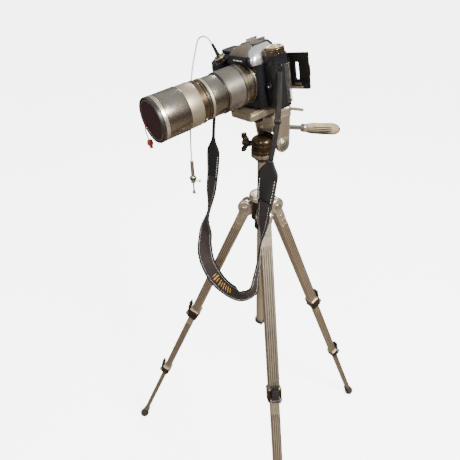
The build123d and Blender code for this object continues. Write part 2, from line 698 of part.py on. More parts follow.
def neck_strap():
    section = Rectangle(STRAP_THICKNESS, STRAP_SOLID_WIDTH)
    solid, path = swept(STRAP_ROUTE, (section, (1, 0, 0)))
    area = STRAP_THICKNESS * STRAP_SOLID_WIDTH
    print("strap length", round(path.length, 1), "radii", [round(r) for r in corner_radii(STRAP_ROUTE)])
    print("strap volume ratio", round(solid.volume / (path.length * area), 3), solid.is_valid)
    return solid


# ---- write every piece --------------------------------------------------
os.makedirs("parts", exist_ok=True)

for leg, direction in LEG_AZIMUTHS.items():
    save(f"{leg}_top", on_leg(leg_top(), direction))
    save(f"{leg}_upper_tube", on_leg(upper_tube(), direction))
    save(f"{leg}_upper_lever", on_leg(lock_lever(UPPER_SECTION, UPPER_END), direction))
    save(f"{leg}_middle_tube", on_leg(middle_tube(), direction))
    save(f"{leg}_lower_lever", on_leg(lock_lever(MIDDLE_SECTION, MIDDLE_END), direction))
    save(f"{leg}_lower_tube", on_leg(lower_tube(), direction))
    save(f"{leg}_foot", foot(direction))

PIECES = [
    crown, hinge_pins, column_lock_knob, column, head_base, pan_body, pan_lock_knob,
    tilt_bracket, tilt_screw, pan_handle, handle_grip, camera_platform, camera_screw,
    side_lock_lever, camera_body, top_cover, hot_shoe, eyepiece, film_door, pressure_plate,
    film_cartridge, take_up_spool, mirror, mode_dial, shutter_button, power_collar,
    lens_release, lens_barrel, lens_elements, aperture_ring, zoom_ring, lens_hood, lens_cap, cap_tassel,
    release_cable, release_ferrule, release_handle, release_plunger, neck_strap,
]
for piece in PIECES:
    save(piece.__name__, piece())
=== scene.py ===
# %% [markdown]
# # A film camera on a tripod
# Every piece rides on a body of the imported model, so one script looks right at every pose.
# Lengths in the helpers below are millimetres, and are turned to metres as they are used.

# %% Load the fixed frame
import math

import bmesh
import bpy
from mathutils import Matrix, Vector


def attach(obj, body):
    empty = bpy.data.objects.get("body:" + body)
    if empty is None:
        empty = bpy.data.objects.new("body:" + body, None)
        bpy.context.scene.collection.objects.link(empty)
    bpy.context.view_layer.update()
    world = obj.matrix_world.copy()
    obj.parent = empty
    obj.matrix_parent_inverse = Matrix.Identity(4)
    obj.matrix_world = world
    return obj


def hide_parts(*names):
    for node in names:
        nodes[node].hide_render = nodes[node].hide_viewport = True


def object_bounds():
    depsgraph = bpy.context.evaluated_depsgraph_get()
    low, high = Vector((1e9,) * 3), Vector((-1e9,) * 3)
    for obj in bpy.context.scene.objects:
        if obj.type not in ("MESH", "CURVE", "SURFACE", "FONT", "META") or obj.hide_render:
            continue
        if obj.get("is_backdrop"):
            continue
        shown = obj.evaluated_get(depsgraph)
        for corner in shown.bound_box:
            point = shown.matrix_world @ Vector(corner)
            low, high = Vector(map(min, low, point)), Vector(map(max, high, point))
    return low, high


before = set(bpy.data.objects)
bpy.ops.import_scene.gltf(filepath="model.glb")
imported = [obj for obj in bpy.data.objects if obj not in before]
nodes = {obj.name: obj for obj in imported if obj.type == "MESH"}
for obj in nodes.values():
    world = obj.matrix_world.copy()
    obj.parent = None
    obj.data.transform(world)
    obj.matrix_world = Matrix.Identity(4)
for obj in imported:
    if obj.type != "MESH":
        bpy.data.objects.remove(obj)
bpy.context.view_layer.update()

# %% [markdown]
# ## Frames to build in
# The real camera leans on its head and each leg leans outward. Building a lens ring on a tilted
# axis by hand is hard, so each assembly gets a matrix that carries a straight, upright frame to
# where the solid sits. The head tips 9 degrees, and the platform lifts 3 degrees on its side.

# %% Frames
def spin(degrees, axis):
    return Matrix.Rotation(math.radians(degrees), 4, axis)


def shift(x, y, z):
    return Matrix.Translation(Vector((x, y, z)) / 1000)


def turned_about(point, degrees, axis):
    return shift(*point) @ spin(degrees, axis) @ shift(*[-v for v in point])


HEAD = turned_about((0, 24, 937), 9, "X")
PLATFORM = HEAD @ turned_about((-30, 0, 995), -3, "Y")
CAMERA = PLATFORM @ shift(0, 12, 1008)
LENS = CAMERA @ shift(0, -28, 39) @ spin(90, "X")
BUTTON = CAMERA @ shift(-62, -25, 67) @ spin(20, "X")
LEG_TURNS = {"left_leg": -30, "right_leg": 210, "rear_leg": 90}
LEGS = {
    leg: spin(turn, "Z") @ shift(28, 0, 814) @ spin(-23.47, "Y")
    for leg, turn in LEG_TURNS.items()
}
WORLD = Matrix.Identity(4)
print("lens mount centre", [round(v, 4) for v in LENS.translation])


def mm(*values):
    return tuple(v / 1000 for v in values) if len(values) > 1 else values[0] / 1000


def baked(source):
    """The finished mesh of an object, modifiers and bevel included."""
    ready = source.evaluated_get(bpy.context.evaluated_depsgraph_get())
    return bpy.data.meshes.new_from_object(ready)


def linked(name, data):
    made = bpy.data.objects.new(name, data)
    bpy.context.scene.collection.objects.link(made)
    return made

# %% [markdown]
# ## The viewpoint
# The eye stands close, above the camera and off its front corner, looking down, so the near leg
# grows towards the viewer. A position, two turns, a roll and a focal length say it, and all of
# it is then turned 50 degrees about the upright axis with the object's own frame.

# %% Viewpoint
EYE = Vector((0.521, -0.437, 1.194))
LOOK_DOWN = math.radians(32)
LOOK_ASIDE = -0.0864
ROLL = -0.0309
heading = Vector((math.sin(LOOK_ASIDE), math.cos(LOOK_ASIDE), 0))
ahead = heading * math.cos(LOOK_DOWN) - Vector((0, 0, math.sin(LOOK_DOWN)))
level = Vector((heading.y, -heading.x, 0))
rise = level.cross(ahead)
across = level * math.cos(ROLL) + rise * math.sin(ROLL)
upward = rise * math.cos(ROLL) - level * math.sin(ROLL)
lens_data = bpy.data.cameras.new("viewpoint")
lens_data.lens = 33.54
lens_data.clip_end = 20
viewpoint = linked("viewpoint", lens_data)
facing = Matrix((across, upward, -ahead)).transposed().to_4x4()
viewpoint.matrix_world = Matrix.Translation(EYE) @ spin(50, "Z") @ facing
bpy.context.scene.camera = viewpoint

# %% [markdown]
# ## Node helpers
# Shader groups and geometry trees are both lists of nodes and links. One small class writes
# either, so each recipe below reads as what goes in and what comes out.

# %% Net
class Net:
    """Adds nodes to a tree, and links sockets as they are named."""

    def __init__(self, tree):
        self.tree = tree

    def add(self, kind, settings=None, **sockets):
        node = self.tree.nodes.new(kind)
        for key, value in (settings or {}).items():
            setattr(node, key, value)
        for key, value in sockets.items():
            self.feed(node, key, value)
        return node

    def maths(self, operation, first, second):
        return self.add("ShaderNodeMath", {"operation": operation}, n0=first, n1=second)

    def mixed(self, share, first, second):
        mix = self.add("ShaderNodeMix", {"data_type": "RGBA"}, n0=share, n6=first, n7=second)
        return mix.outputs[2]

    def copies(self, points, one, **more):
        return self.add("GeometryNodeInstanceOnPoints", Points=points, Instance=one, **more)

    def feed(self, node, key, value):
        if isinstance(value, bpy.types.Node):
            value = value.outputs[0]
        number = key.startswith("n") and key[1:].isdigit()
        socket = node.inputs[int(key[1:])] if number else node.inputs[key.replace("_", " ")]
        if isinstance(value, bpy.types.NodeSocket):
            self.tree.links.new(value, socket)
        else:
            socket.default_value = value


def shader_group(name, inputs, outputs):
    tree = bpy.data.node_groups.new(name, "ShaderNodeTree")
    for label, kind, value in inputs:
        socket = tree.interface.new_socket(label, in_out="INPUT", socket_type=kind)
        socket.default_value = value
    for label, kind in outputs:
        tree.interface.new_socket(label, in_out="OUTPUT", socket_type=kind)
    net = Net(tree)
    return tree, net, net.add("NodeGroupInput").outputs, net.add("NodeGroupOutput")


FLOAT, COLOUR, VECTOR = "NodeSocketFloat", "NodeSocketColor", "NodeSocketVector"

# %% [markdown]
# ## Three surface effects
# Old metal and plastic share three things: patches of tone where hands and dust have been, edges
# rubbed brighter than the faces, and a fine relief. Each effect is one group, placed in the
# finishes that use it with their own numbers. The Bevel node finds the edges without extra
# geometry, and is left off turned lens metal and the cable, which it makes look hammered.

# %% Patina group
patina, net, given, out = shader_group(
    "patina", [("Scale", FLOAT, 60), ("Stretch", VECTOR, (1, 1, 1)), ("Colour", COLOUR, (1, 1, 1, 1)),
    ("Shade", COLOUR, (0, 0, 0, 1)), ("Rough Low", FLOAT, 0.3), ("Rough High", FLOAT, 0.5)],
    [("Colour", COLOUR), ("Roughness", FLOAT), ("Height", FLOAT)])
place = net.add("ShaderNodeTexCoord")
laid = net.add("ShaderNodeMapping", Vector=place.outputs["Object"], Scale=given["Stretch"])
broad = net.add("ShaderNodeTexNoise", Vector=laid, Scale=given["Scale"], Detail=5.0, Roughness=0.6)
fine_scale = net.maths("MULTIPLY", given["Scale"], 14.0)
fine = net.add("ShaderNodeTexNoise", Vector=laid, Scale=fine_scale, Detail=3.0)
patch = net.add("ShaderNodeMapRange", Value=broad.outputs["Fac"], n1=0.36, n2=0.66)
tone = net.mixed(patch, given["Colour"], given["Shade"])
gloss = net.add(
    "ShaderNodeMapRange", Value=fine.outputs["Fac"], n1=0.3, n2=0.7, n3=given["Rough Low"],
    n4=given["Rough High"])
net.feed(out, "Colour", tone)
net.feed(out, "Roughness", gloss)
net.feed(out, "Height", fine.outputs["Fac"])

# %% Edge wear group
edge_wear, net, given, out = shader_group(
    "edge_wear", [("Colour", COLOUR, (1, 1, 1, 1)), ("Worn Colour", COLOUR, (1, 1, 1, 1)),
    ("Amount", FLOAT, 0.5), ("Radius", FLOAT, 0.0006)], [("Colour", COLOUR), ("Normal", VECTOR)])
round_off = net.add("ShaderNodeBevel", {"samples": 4}, Radius=given["Radius"])
flat = net.add("ShaderNodeNewGeometry")
match = net.add(
    "ShaderNodeVectorMath", {"operation": "DOT_PRODUCT"}, n0=round_off, n1=flat.outputs["Normal"])
place = net.add("ShaderNodeTexCoord")
chips = net.add("ShaderNodeTexNoise", Vector=place.outputs["Object"], Scale=420.0, Detail=4.0)
turn = net.add("ShaderNodeMapRange", Value=match.outputs["Value"], n1=0.995, n2=0.86)
rubbed = net.maths("MULTIPLY", turn, chips.outputs["Fac"])
share = net.add(
    "ShaderNodeMath", {"operation": "MULTIPLY", "use_clamp": True}, n0=rubbed, n1=given["Amount"])
worn = net.mixed(share, given["Colour"], given["Worn Colour"])
net.feed(out, "Colour", worn)
net.feed(out, "Normal", round_off)

# %% Pebble and weave groups
pebble, net, given, out = shader_group("pebble_grain", [("Scale", FLOAT, 900)], [("Height", FLOAT)])
place = net.add("ShaderNodeTexCoord")
cells = net.add(
    "ShaderNodeTexVoronoi", {"feature": "SMOOTH_F1"}, Vector=place.outputs["Object"],
    Scale=given["Scale"])
net.feed(out, "Height", cells.outputs["Distance"])

weave, net, given, out = shader_group(
    "weave", [("Across", FLOAT, 14), ("Along", FLOAT, 520)], [("Height", FLOAT)])
place = net.add("ShaderNodeTexCoord")
fit = net.add("ShaderNodeCombineXYZ", X=given["Across"], Y=given["Along"], Z=1.0)
laid = net.add("ShaderNodeVectorMath", {"operation": "MULTIPLY"}, n0=place.outputs["UV"], n1=fit)
slant = net.add("ShaderNodeMapping", Vector=laid, Rotation=(0, 0, 0.785))
checks = net.add("ShaderNodeTexWave", {"bands_direction": "X"}, Vector=slant, Scale=1.0)
other = net.add("ShaderNodeTexWave", {"bands_direction": "Y"}, Vector=slant, Scale=1.0)
woven = net.maths("MAXIMUM", checks.outputs["Fac"], other.outputs["Fac"])
net.feed(out, "Height", woven)

# %% [markdown]
# ## Finishes
# A finish is the same chain each time: patches of tone, worn edges, then relief. Shiny and dull
# are set by roughness alone, because that is how anodised, painted and moulded parts differ.

# %% Finish
def finish(name, colour, shade, rough, metal=0.0, scale=60, stretch=(1, 1, 1), worn=None,
           wear=0.6, edge=0.6, relief=0.02, grain=None, grain_scale=900, coat=0.0, sheen=0.0,
           worn_edges=True):
    material = bpy.data.materials.new(name)
    material.use_nodes = True
    net = Net(material.node_tree)
    shader = material.node_tree.nodes["Principled BSDF"]
    shader.inputs["Metallic"].default_value = metal
    shader.inputs["Coat Weight"].default_value = coat
    shader.inputs["Sheen Weight"].default_value = sheen
    tones = net.add(
        "ShaderNodeGroup", {"node_tree": patina}, Scale=scale, Stretch=stretch, Colour=(*colour, 1),
        Shade=(*shade, 1), Rough_Low=rough[0], Rough_High=rough[1])
    edges = None
    if worn_edges:
        edges = net.add("ShaderNodeGroup", {"node_tree": edge_wear}, Colour=tones.outputs["Colour"],
                        Worn_Colour=(*(worn or colour), 1), Amount=wear, Radius=edge / 1000)
    height = tones.outputs["Height"]
    if grain:
        pattern = net.add("ShaderNodeGroup", {"node_tree": grain})
        if grain is pebble:
            net.feed(pattern, "Scale", grain_scale)
        height = pattern.outputs["Height"]
    bump = net.add("ShaderNodeBump", Strength=1.0, Distance=relief / 1000, Height=height)
    if edges:
        net.feed(bump, "Normal", edges.outputs["Normal"])
    net.feed(shader, "Base_Color", (edges or tones).outputs["Colour"])
    net.feed(shader, "Roughness", tones.outputs["Roughness"])
    net.feed(shader, "Normal", bump.outputs["Normal"])
    return material


champagne = finish(
    "champagne anodised tube", (0.63, 0.55, 0.43), (0.5, 0.42, 0.31), (0.28, 0.4), 0.9, 25,
    (1, 1, 0.15), (0.85, 0.78, 0.66), 0.5, relief=0.004)
# Painted shade: a dark finish for thin strips between the leg ribs, standing in for the shade that falls
# in each groove of the tube.
groove_shade_paint = finish(
    "dark tube groove", (0.1, 0.075, 0.05), (0.06, 0.045, 0.03), (0.35, 0.5), 0.7, 40, relief=0.004)
bronze = finish(
    "dark bronze casting", (0.05, 0.028, 0.014), (0.014, 0.009, 0.006), (0.16, 0.3), 0.55, 70,
    worn=(0.45, 0.33, 0.2), wear=0.7, relief=0.02)
cream = finish(
    "cream cast metal", (0.7, 0.62, 0.5), (0.5, 0.43, 0.33), (0.2, 0.34), 0.85, 60,
    worn=(0.8, 0.73, 0.6), relief=0.015)
steel = finish("plain steel", (0.68, 0.66, 0.63), (0.5, 0.48, 0.45), (0.2, 0.34), 1.0, 90)
black_shell = finish(
    "black camera shell", (0.005, 0.006, 0.009), (0.009, 0.009, 0.011), (0.2, 0.34), 0, 80,
    worn=(0.2, 0.19, 0.18), wear=0.35, relief=0.01)
black_plastic = finish(
    "black moulded plastic", (0.009, 0.008, 0.008), (0.016, 0.014, 0.012), (0.28, 0.42), 0, 70,
    worn=(0.12, 0.1, 0.09), relief=0.03)
leatherette = finish(
    "black leatherette", (0.006, 0.0065, 0.009), (0.012, 0.012, 0.013), (0.26, 0.4), 0, 60, relief=0.25,
    grain=pebble, grain_scale=850, edge=0.3)
silver_cover = finish(
    "silver camera cover", (0.68, 0.7, 0.72), (0.56, 0.575, 0.59), (0.25, 0.34), 0.85, 40,
    worn=(0.8, 0.8, 0.8), relief=0.004)
taupe_cover = finish(
    "taupe prism top", (0.19, 0.16, 0.12), (0.13, 0.105, 0.08), (0.3, 0.42), 0.5, 50,
    worn=(0.4, 0.35, 0.28))
bronze_gold = finish(
    "bronze dial side", (0.26, 0.19, 0.115), (0.12, 0.085, 0.055), (0.18, 0.3), 0.95, 50,
    worn=(0.7, 0.6, 0.42))
gold_top = finish("gold dial top", (0.8, 0.63, 0.38), (0.62, 0.46, 0.26), (0.24, 0.34), 0.9, 60)
lens_metal = finish(
    "lens barrel metal", (0.4, 0.36, 0.3), (0.31, 0.275, 0.22), (0.2, 0.28), 1.0, 30, relief=0.001,
    worn_edges=False)
hood_matte = finish(
    "matte hood band", (0.52, 0.46, 0.36), (0.44, 0.385, 0.3), (0.4, 0.5), 0.9, 30, relief=0.002,
    worn_edges=False)
lens_grey = finish(
    "ribbed lens ring", (0.3, 0.28, 0.245), (0.2, 0.185, 0.16), (0.3, 0.42), 0.85, 60, relief=0.004,
    worn_edges=False)
seam_black = finish("black seam", (0.01, 0.009, 0.008), (0.02, 0.017, 0.015), (0.3, 0.45), 0, 80)
maroon = finish(
    "maroon cap", (0.03, 0.004, 0.006), (0.018, 0.003, 0.005), (0.45, 0.58), 0, 80,
    worn=(0.16, 0.07, 0.06), relief=0.01)
red_bead = finish("red bead", (0.6, 0.03, 0.025), (0.4, 0.02, 0.018), (0.2, 0.32), 0, 120, coat=0.3)
rubber = finish(
    "foot rubber", (0.025, 0.021, 0.018), (0.045, 0.038, 0.03), (0.6, 0.8), 0, 90, relief=0.12)
grip_plastic = finish("handle plastic", (0.46, 0.37, 0.25), (0.3, 0.23, 0.15), (0.3, 0.42), 0.15, 50)
band_cloth = finish(
    "strap band", (0.03, 0.018, 0.016), (0.018, 0.011, 0.01), (0.6, 0.75), 0, 40, relief=0.12,
    grain=weave, sheen=0.04, edge=0.3)
edge_cloth = finish(
    "strap binding", (0.004, 0.003, 0.003), (0.008, 0.006, 0.006), (0.55, 0.7), 0, 60, relief=0.1,
    grain=weave, sheen=0.02, edge=0.3)
leather = finish(
    "strap end leather", (0.004, 0.003, 0.003), (0.008, 0.006, 0.006), (0.45, 0.6), 0, 60, relief=0.2,
    grain=pebble, grain_scale=600, edge=0.4)
thread = finish("stitch thread", (0.03, 0.022, 0.02), (0.02, 0.015, 0.014), (0.6, 0.8), 0, 200)
amber_thread = finish(
    "amber embroidery", (0.9, 0.5, 0.05), (0.75, 0.38, 0.03), (0.5, 0.65), 0, 200, sheen=0.2)
cable_sleeve = finish(
    "pale cable sleeve", (0.78, 0.79, 0.78), (0.62, 0.62, 0.6), (0.3, 0.42), 0.0, 200, relief=0.01,
    worn_edges=False)
white_mark = finish("white paint", (0.8, 0.8, 0.78), (0.7, 0.7, 0.68), (0.4, 0.5), 0, 100)
mirror_glass = finish(
    "reflex mirror", (0.9, 0.9, 0.9), (0.86, 0.86, 0.86), (0.02, 0.04), 1.0, 40, relief=0.0)
film_can = finish("film can", (0.62, 0.45, 0.09), (0.5, 0.36, 0.07), (0.35, 0.45), 0.2, 50)
coated_glass = bpy.data.materials.new("coated glass")
coated_glass.use_nodes = True
glass_shader = coated_glass.node_tree.nodes["Principled BSDF"]
for socket, value in (("Base Color", (0.75, 0.7, 0.9, 1)), ("Roughness", 0.03),
                      ("Transmission Weight", 0.9), ("IOR", 1.5), ("Coat Weight", 0.5)):
    glass_shader.inputs[socket].default_value = value
print("finishes", len(bpy.data.materials))

# %% Dress the solids
def dress(material, *names):
    for name in names:
        data = nodes[name].data
        data.materials.clear()
        data.materials.append(material)


for leg in LEGS:
    dress(champagne, f"{leg}_upper_tube", f"{leg}_middle_tube", f"{leg}_lower_tube")
    dress(cream, f"{leg}_top")
    dress(black_plastic, f"{leg}_upper_lever", f"{leg}_lower_lever")
    dress(rubber, f"{leg}_foot")
dress(champagne, "column")
dress(bronze, "crown", "head_base", "pan_body")
dress(cream, "tilt_bracket", "side_lock_lever")
dress(champagne, "camera_platform")
dress(bronze, "column_lock_knob", "pan_lock_knob")
dress(steel, "release_handle", "hinge_pins", "tilt_screw", "pan_handle", "shutter_button",
      "release_plunger", "hot_shoe")
dress(black_plastic, "camera_screw", "power_collar", "take_up_spool", "eyepiece",
      "pressure_plate", "lens_release", "release_ferrule")
dress(black_shell, "camera_body", "film_door", "top_cover")
dress(grip_plastic, "handle_grip")
dress(film_can, "film_cartridge")
dress(mirror_glass, "mirror")
dress(bronze_gold, "mode_dial")
dress(lens_metal, "lens_barrel", "aperture_ring", "lens_hood")
dress(lens_grey, "zoom_ring")
dress(maroon, "lens_cap")
dress(coated_glass, "lens_elements")

# %% [markdown]
# ## Making meshes
# Most pieces are one of five shapes: turned on an axis, lofted through outlines, a wall along a
# path, a rounded block or a Geometry Nodes pattern. Each has one helper that also fits it to
# its body and leaves its object at the origin, and all but the pattern helper recalculate
# normals.

# %% Mesh helpers
def riding(name, mesh, body):
    piece = linked(name, mesh)
    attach(piece, body)
    return piece


def settle(name, mesh, place, body, material):
    """Bake the place into the mesh, give it a finish and let it ride."""
    mesh.transform(place)
    tidy = bmesh.new()
    tidy.from_mesh(mesh)
    bmesh.ops.remove_doubles(tidy, verts=tidy.verts, dist=0.000005)
    bmesh.ops.recalc_face_normals(tidy, faces=tidy.faces)
    tidy.to_mesh(mesh)
    tidy.free()
    if material and not mesh.materials:
        mesh.materials.append(material)
    return riding(name, mesh, body)


def mesh_of(name, points, faces):
    mesh = bpy.data.meshes.new(name)
    mesh.from_pydata([Vector(p) / 1000 for p in points], [], faces)
    mesh.shade_smooth()
    return mesh


def quads(rows, count, closed, flip=False):
    """The faces between each ring of points and the next, joined end to end when closed."""
    faces = []
    for r in range(rows if closed else rows - 1):
        here, there = r * count, (r + 1) % rows * count
        for k in range(count):
            nxt = (k + 1) % count
            face = (here + k, here + nxt, there + nxt, there + k)
            faces.append((face[0], face[3], face[2], face[1]) if flip else face)
    return faces


def sharpen(piece, degrees=35):
    """Smooth shading that keeps real corners sharp."""
    edges = bmesh.new()
    edges.from_mesh(piece.data)
    limit = math.radians(degrees)
    for edge in edges.edges:
        edge.smooth = len(edge.link_faces) == 2 and edge.calc_face_angle() < limit
    edges.to_mesh(piece.data)
    edges.free()
    return piece


def turned(name, profile, place, body, material, steps=96):
    """A closed profile of (distance along, radius) spun about the local Z axis."""
    points = []
    for step in range(steps):
        angle = math.tau * step / steps
        points += [(r * math.cos(angle), r * math.sin(angle), t) for t, r in profile]
    skin = mesh_of(name, points, quads(steps, len(profile), True, flip=True))
    return sharpen(settle(name, skin, place, body, material))


def band(low, high, inner, outer):
    """The profile of a plain ring with softened outer corners."""
    soft = min(0.4, (high - low) / 4, (outer - inner) / 3)
    return [(low, inner), (low, outer - soft), (low + soft, outer), (high - soft, outer),
            (high, outer - soft), (high, inner)]


def outline(x, y, radius, per_corner=8):
    """A rounded rectangle in plan, as a list of points."""
    points = []
    for cx, cy, start in ((x[1] - radius, y[1] - radius, 0), (x[0] + radius, y[1] - radius, 90),
                          (x[0] + radius, y[0] + radius, 180), (x[1] - radius, y[0] + radius, 270)):
        for k in range(per_corner):
            a = math.radians(start + 90 * k / (per_corner - 1))
            points.append((cx + radius * math.cos(a), cy + radius * math.sin(a)))
    return points


def lofted(name, rings, place, body, material):
    """A closed skin through rings of equal length, each a list of points."""
    count, points = len(rings[0]), [p for ring in rings for p in ring]
    faces = [tuple(range(count))[::-1], tuple(range(len(points) - count, len(points)))]
    skin = mesh_of(name, points, faces + quads(len(rings), count, False))
    return sharpen(settle(name, skin, place, body, material), 40)


def ring_loft(name, rings, place, body, material):
    """A loft whose last ring joins its first, such as a lip round a hole."""
    skin = mesh_of(name, [p for ring in rings for p in ring], quads(len(rings), len(rings[0]), True))
    return sharpen(settle(name, skin, place, body, material), 40)


def slab(name, x, y, z, radius, place, body, material, edge=0.5):
    """A block with rounded upright corners and softened top and bottom edges."""
    def ring(level, inset):
        plan = outline(
            (x[0] + inset, x[1] - inset), (y[0] + inset, y[1] - inset), max(radius - inset, 0.05))
        return [(px, py, level) for px, py in plan]
    rings = [ring(z[0], edge), ring(z[0] + edge, 0), ring(z[1] - edge, 0), ring(z[1], edge)]
    return lofted(name, rings, place, body, material)


def wall(name, path, z, thick, place, body, material):
    """A thin standing wall along a plan path, thick towards the right of travel."""
    out_path = []
    for k, point in enumerate(path):
        before, after = Vector(path[max(k - 1, 0)]), Vector(path[min(k + 1, len(path) - 1)])
        along = (after - before).normalized()
        out_path.append((point[0] + along.y * thick, point[1] - along.x * thick))
    rings = [[(*a, z[0]), (*b, z[0]), (*b, z[1]), (*a, z[1])] for a, b in zip(path, out_path)]
    return lofted(name, rings, place, body, material)


# %% [markdown]
# ## Patterns by Geometry Nodes
# Knurls, ribs, studs and stitches repeat by a rule, so a tree makes them from a few named sizes.
# One tree lays teeth in rings round an axis, one lays blocks in rows across a face, and one lays
# stitches along a line of points.

# %% Geometry trees
def geometry_tree(name, inputs):
    tree = bpy.data.node_groups.new(name, "GeometryNodeTree")
    tree.interface.new_socket("Geometry", in_out="INPUT", socket_type="NodeSocketGeometry")
    for label, kind in inputs:
        tree.interface.new_socket(label, in_out="INPUT", socket_type=kind)
    tree.interface.new_socket("Geometry", in_out="OUTPUT", socket_type="NodeSocketGeometry")
    net = Net(tree)
    return tree, net, net.add("NodeGroupInput").outputs, net.add("NodeGroupOutput")


def end_tree(net, given, out, geometry):
    real = net.add("GeometryNodeRealizeInstances", Geometry=geometry)
    dressed = net.add("GeometryNodeSetMaterial", Geometry=real, Material=given["Material"])
    net.feed(out, "Geometry", dressed)


INT, MATERIAL = "NodeSocketInt", "NodeSocketMaterial"
ring_teeth, net, given, out = geometry_tree("ring_of_teeth", [
    ("Count", INT), ("Radius", FLOAT), ("Tooth", VECTOR), ("Rows", INT), ("Row Step", FLOAT),
    ("Material", MATERIAL)])
circle = net.add("GeometryNodeMeshCircle", Vertices=given["Count"], Radius=given["Radius"])
index = net.add("GeometryNodeInputIndex")
part = net.maths("DIVIDE", index, given["Count"])
angle = net.maths("MULTIPLY", part, math.tau)
facing_out = net.add("ShaderNodeCombineXYZ", Z=angle)
tooth = net.add("GeometryNodeMeshCube", Size=given["Tooth"])
one_ring = net.copies(circle, tooth, Rotation=facing_out)
step = net.add("ShaderNodeCombineXYZ", Z=given["Row Step"])
line = net.add("GeometryNodeMeshLine", Count=given["Rows"], Offset=step)
stack = net.copies(line, one_ring)
end_tree(net, given, out, stack)

block_rows, net, given, out = geometry_tree("rows_of_blocks", [
    ("Count", INT), ("Step", VECTOR), ("Rows", INT), ("Row Step", VECTOR), ("Block", VECTOR),
    ("Material", MATERIAL)])
line = net.add("GeometryNodeMeshLine", Count=given["Count"], Offset=given["Step"])
block = net.add("GeometryNodeMeshCube", Size=given["Block"])
one_row = net.copies(line, block)
rows = net.add("GeometryNodeMeshLine", Count=given["Rows"], Offset=given["Row Step"])
field = net.copies(rows, one_row)
end_tree(net, given, out, field)

stitch_line, net, given, out = geometry_tree("stitches", [
    ("Pitch", FLOAT), ("Stitch", VECTOR), ("Material", MATERIAL)])
seam = net.add("GeometryNodeMeshToCurve", Mesh=given["Geometry"])
even = net.add("GeometryNodeResampleCurve", {"mode": "LENGTH"}, Curve=seam, Length=given["Pitch"])
heading_in = net.add("GeometryNodeInputTangent")
aim = net.add("FunctionNodeAlignRotationToVector", {"axis": "X"}, Vector=heading_in)
block = net.add("GeometryNodeMeshCube", Size=given["Stitch"])
run = net.copies(even, block, Rotation=aim)
end_tree(net, given, out, run)


def grown_mesh(name, tree, place, start=None, **values):
    """Run a tree and turn the result into a plain mesh."""
    source = linked(name + "_seed", start or bpy.data.meshes.new(name))
    modifier = source.modifiers.new("pattern", "NODES")
    modifier.node_group = tree
    for item in tree.interface.items_tree:
        key = item.name.replace(" ", "_")
        if item.in_out == "INPUT" and key in values:
            modifier[item.identifier] = values[key]
    mesh = baked(source)
    bpy.data.objects.remove(source)
    mesh.transform(place)
    return mesh


def grown(name, tree, place, body, slot, **values):
    """A pattern as a piece that rides on its body."""
    return riding(name, grown_mesh(name, tree, place, **values), body)


def teeth(name, place, body, slot, count, radius, tooth, material, rows=1, row_step=0.0):
    grown(name, ring_teeth, place, body, slot, Count=count, Radius=mm(radius), Tooth=mm(*tooth),
          Rows=rows, Row_Step=mm(row_step), Material=material)


def blocks(name, place, body, slot, count, step, block, material, rows=1, row_step=(0, 0, 0)):
    grown(name, block_rows, place, body, slot, Count=count, Step=mm(*step), Rows=rows,
          Row_Step=mm(*row_step), Block=mm(*block), Material=material)


# %% [markdown]
# ## Cable release
# A thin sleeved wire runs from the shutter button to a push handle and hangs by its own weight.
# Its line is a smooth NURBS curve through the route of the solid, with a round bevel.

# %% Cable
def route_curve(name, points, radius):
    data = bpy.data.curves.new(name, "CURVE")
    data.dimensions = "3D"
    spline = data.splines.new("NURBS")
    spline.points.add(len(points) - 1)
    for slot_point, point in zip(spline.points, points):
        slot_point.co = (*[v / 1000 for v in point], 1)
    spline.order_u = 3
    spline.use_endpoint_u = True
    data.bevel_depth = radius / 1000
    data.bevel_resolution = 4
    data.resolution_u = 14
    data.use_fill_caps = True
    piece = linked(name, data)
    return piece


CABLE_ROUTE = [
    (-68, -47, 1089), (-69, -51, 1096), (-74, -55, 1100), (-81, -59, 1099), (-86, -62, 1092),
    (-88, -64, 1081), (-92, -67, 1064), (-97, -70, 1040), (-101, -72, 1005), (-103, -75, 960),
    (-105, -77, 922), (-105, -77, 893)]
cable = route_curve("cable_sleeve", CABLE_ROUTE, 1.25)
cable.data.materials.append(cable_sleeve)
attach(cable, "camera")
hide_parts("release_cable")

# %% [markdown]
# ## Neck strap
# A wide woven band hangs in a loop between two narrow webbing ends. The band twists as it
# hangs, so it is built along its line: at each point a width and a turn give the two edges.
# The line comes from the route's own NURBS curve, so it stays smooth.

# %% Strap line
STRAP_ROUTE = [
    (-84, -19, 1055), (-90, -27, 1006), (-92, -35, 956), (-88, -41, 906), (-86, -46, 864),
    (-88, -51, 830), (-92, -57, 783), (-97, -63, 740), (-97, -68, 703), (-87, -71, 681),
    (-67, -73, 666), (-41, -74, 657), (-8, -74, 657), (26, -73, 666), (49, -71, 682),
    (61, -68, 704), (64, -63, 735), (65, -58, 774), (63, -52, 817), (62, -46, 864),
    (61, -40, 913), (65, -35, 953), (66, -28, 992), (62, -22, 1029), (55, -17, 1062)]
guide = route_curve("strap_guide", STRAP_ROUTE, 0)
strap_line = [v.co.copy() for v in baked(guide).vertices]
bpy.data.objects.remove(guide)
travel = [0.0]
for a, b in zip(strap_line, strap_line[1:]):
    travel.append(travel[-1] + (b - a).length)
print("strap length", round(travel[-1], 4), "points", len(strap_line))


def between(stations, share):
    """Read a smooth value from (share, value) stations."""
    for (a, low), (b, high) in zip(stations, stations[1:]):
        if share <= b:
            t = max(0.0, (share - a) / (b - a))
            return low + (high - low) * t * t * (3 - 2 * t)
    return stations[-1][1]


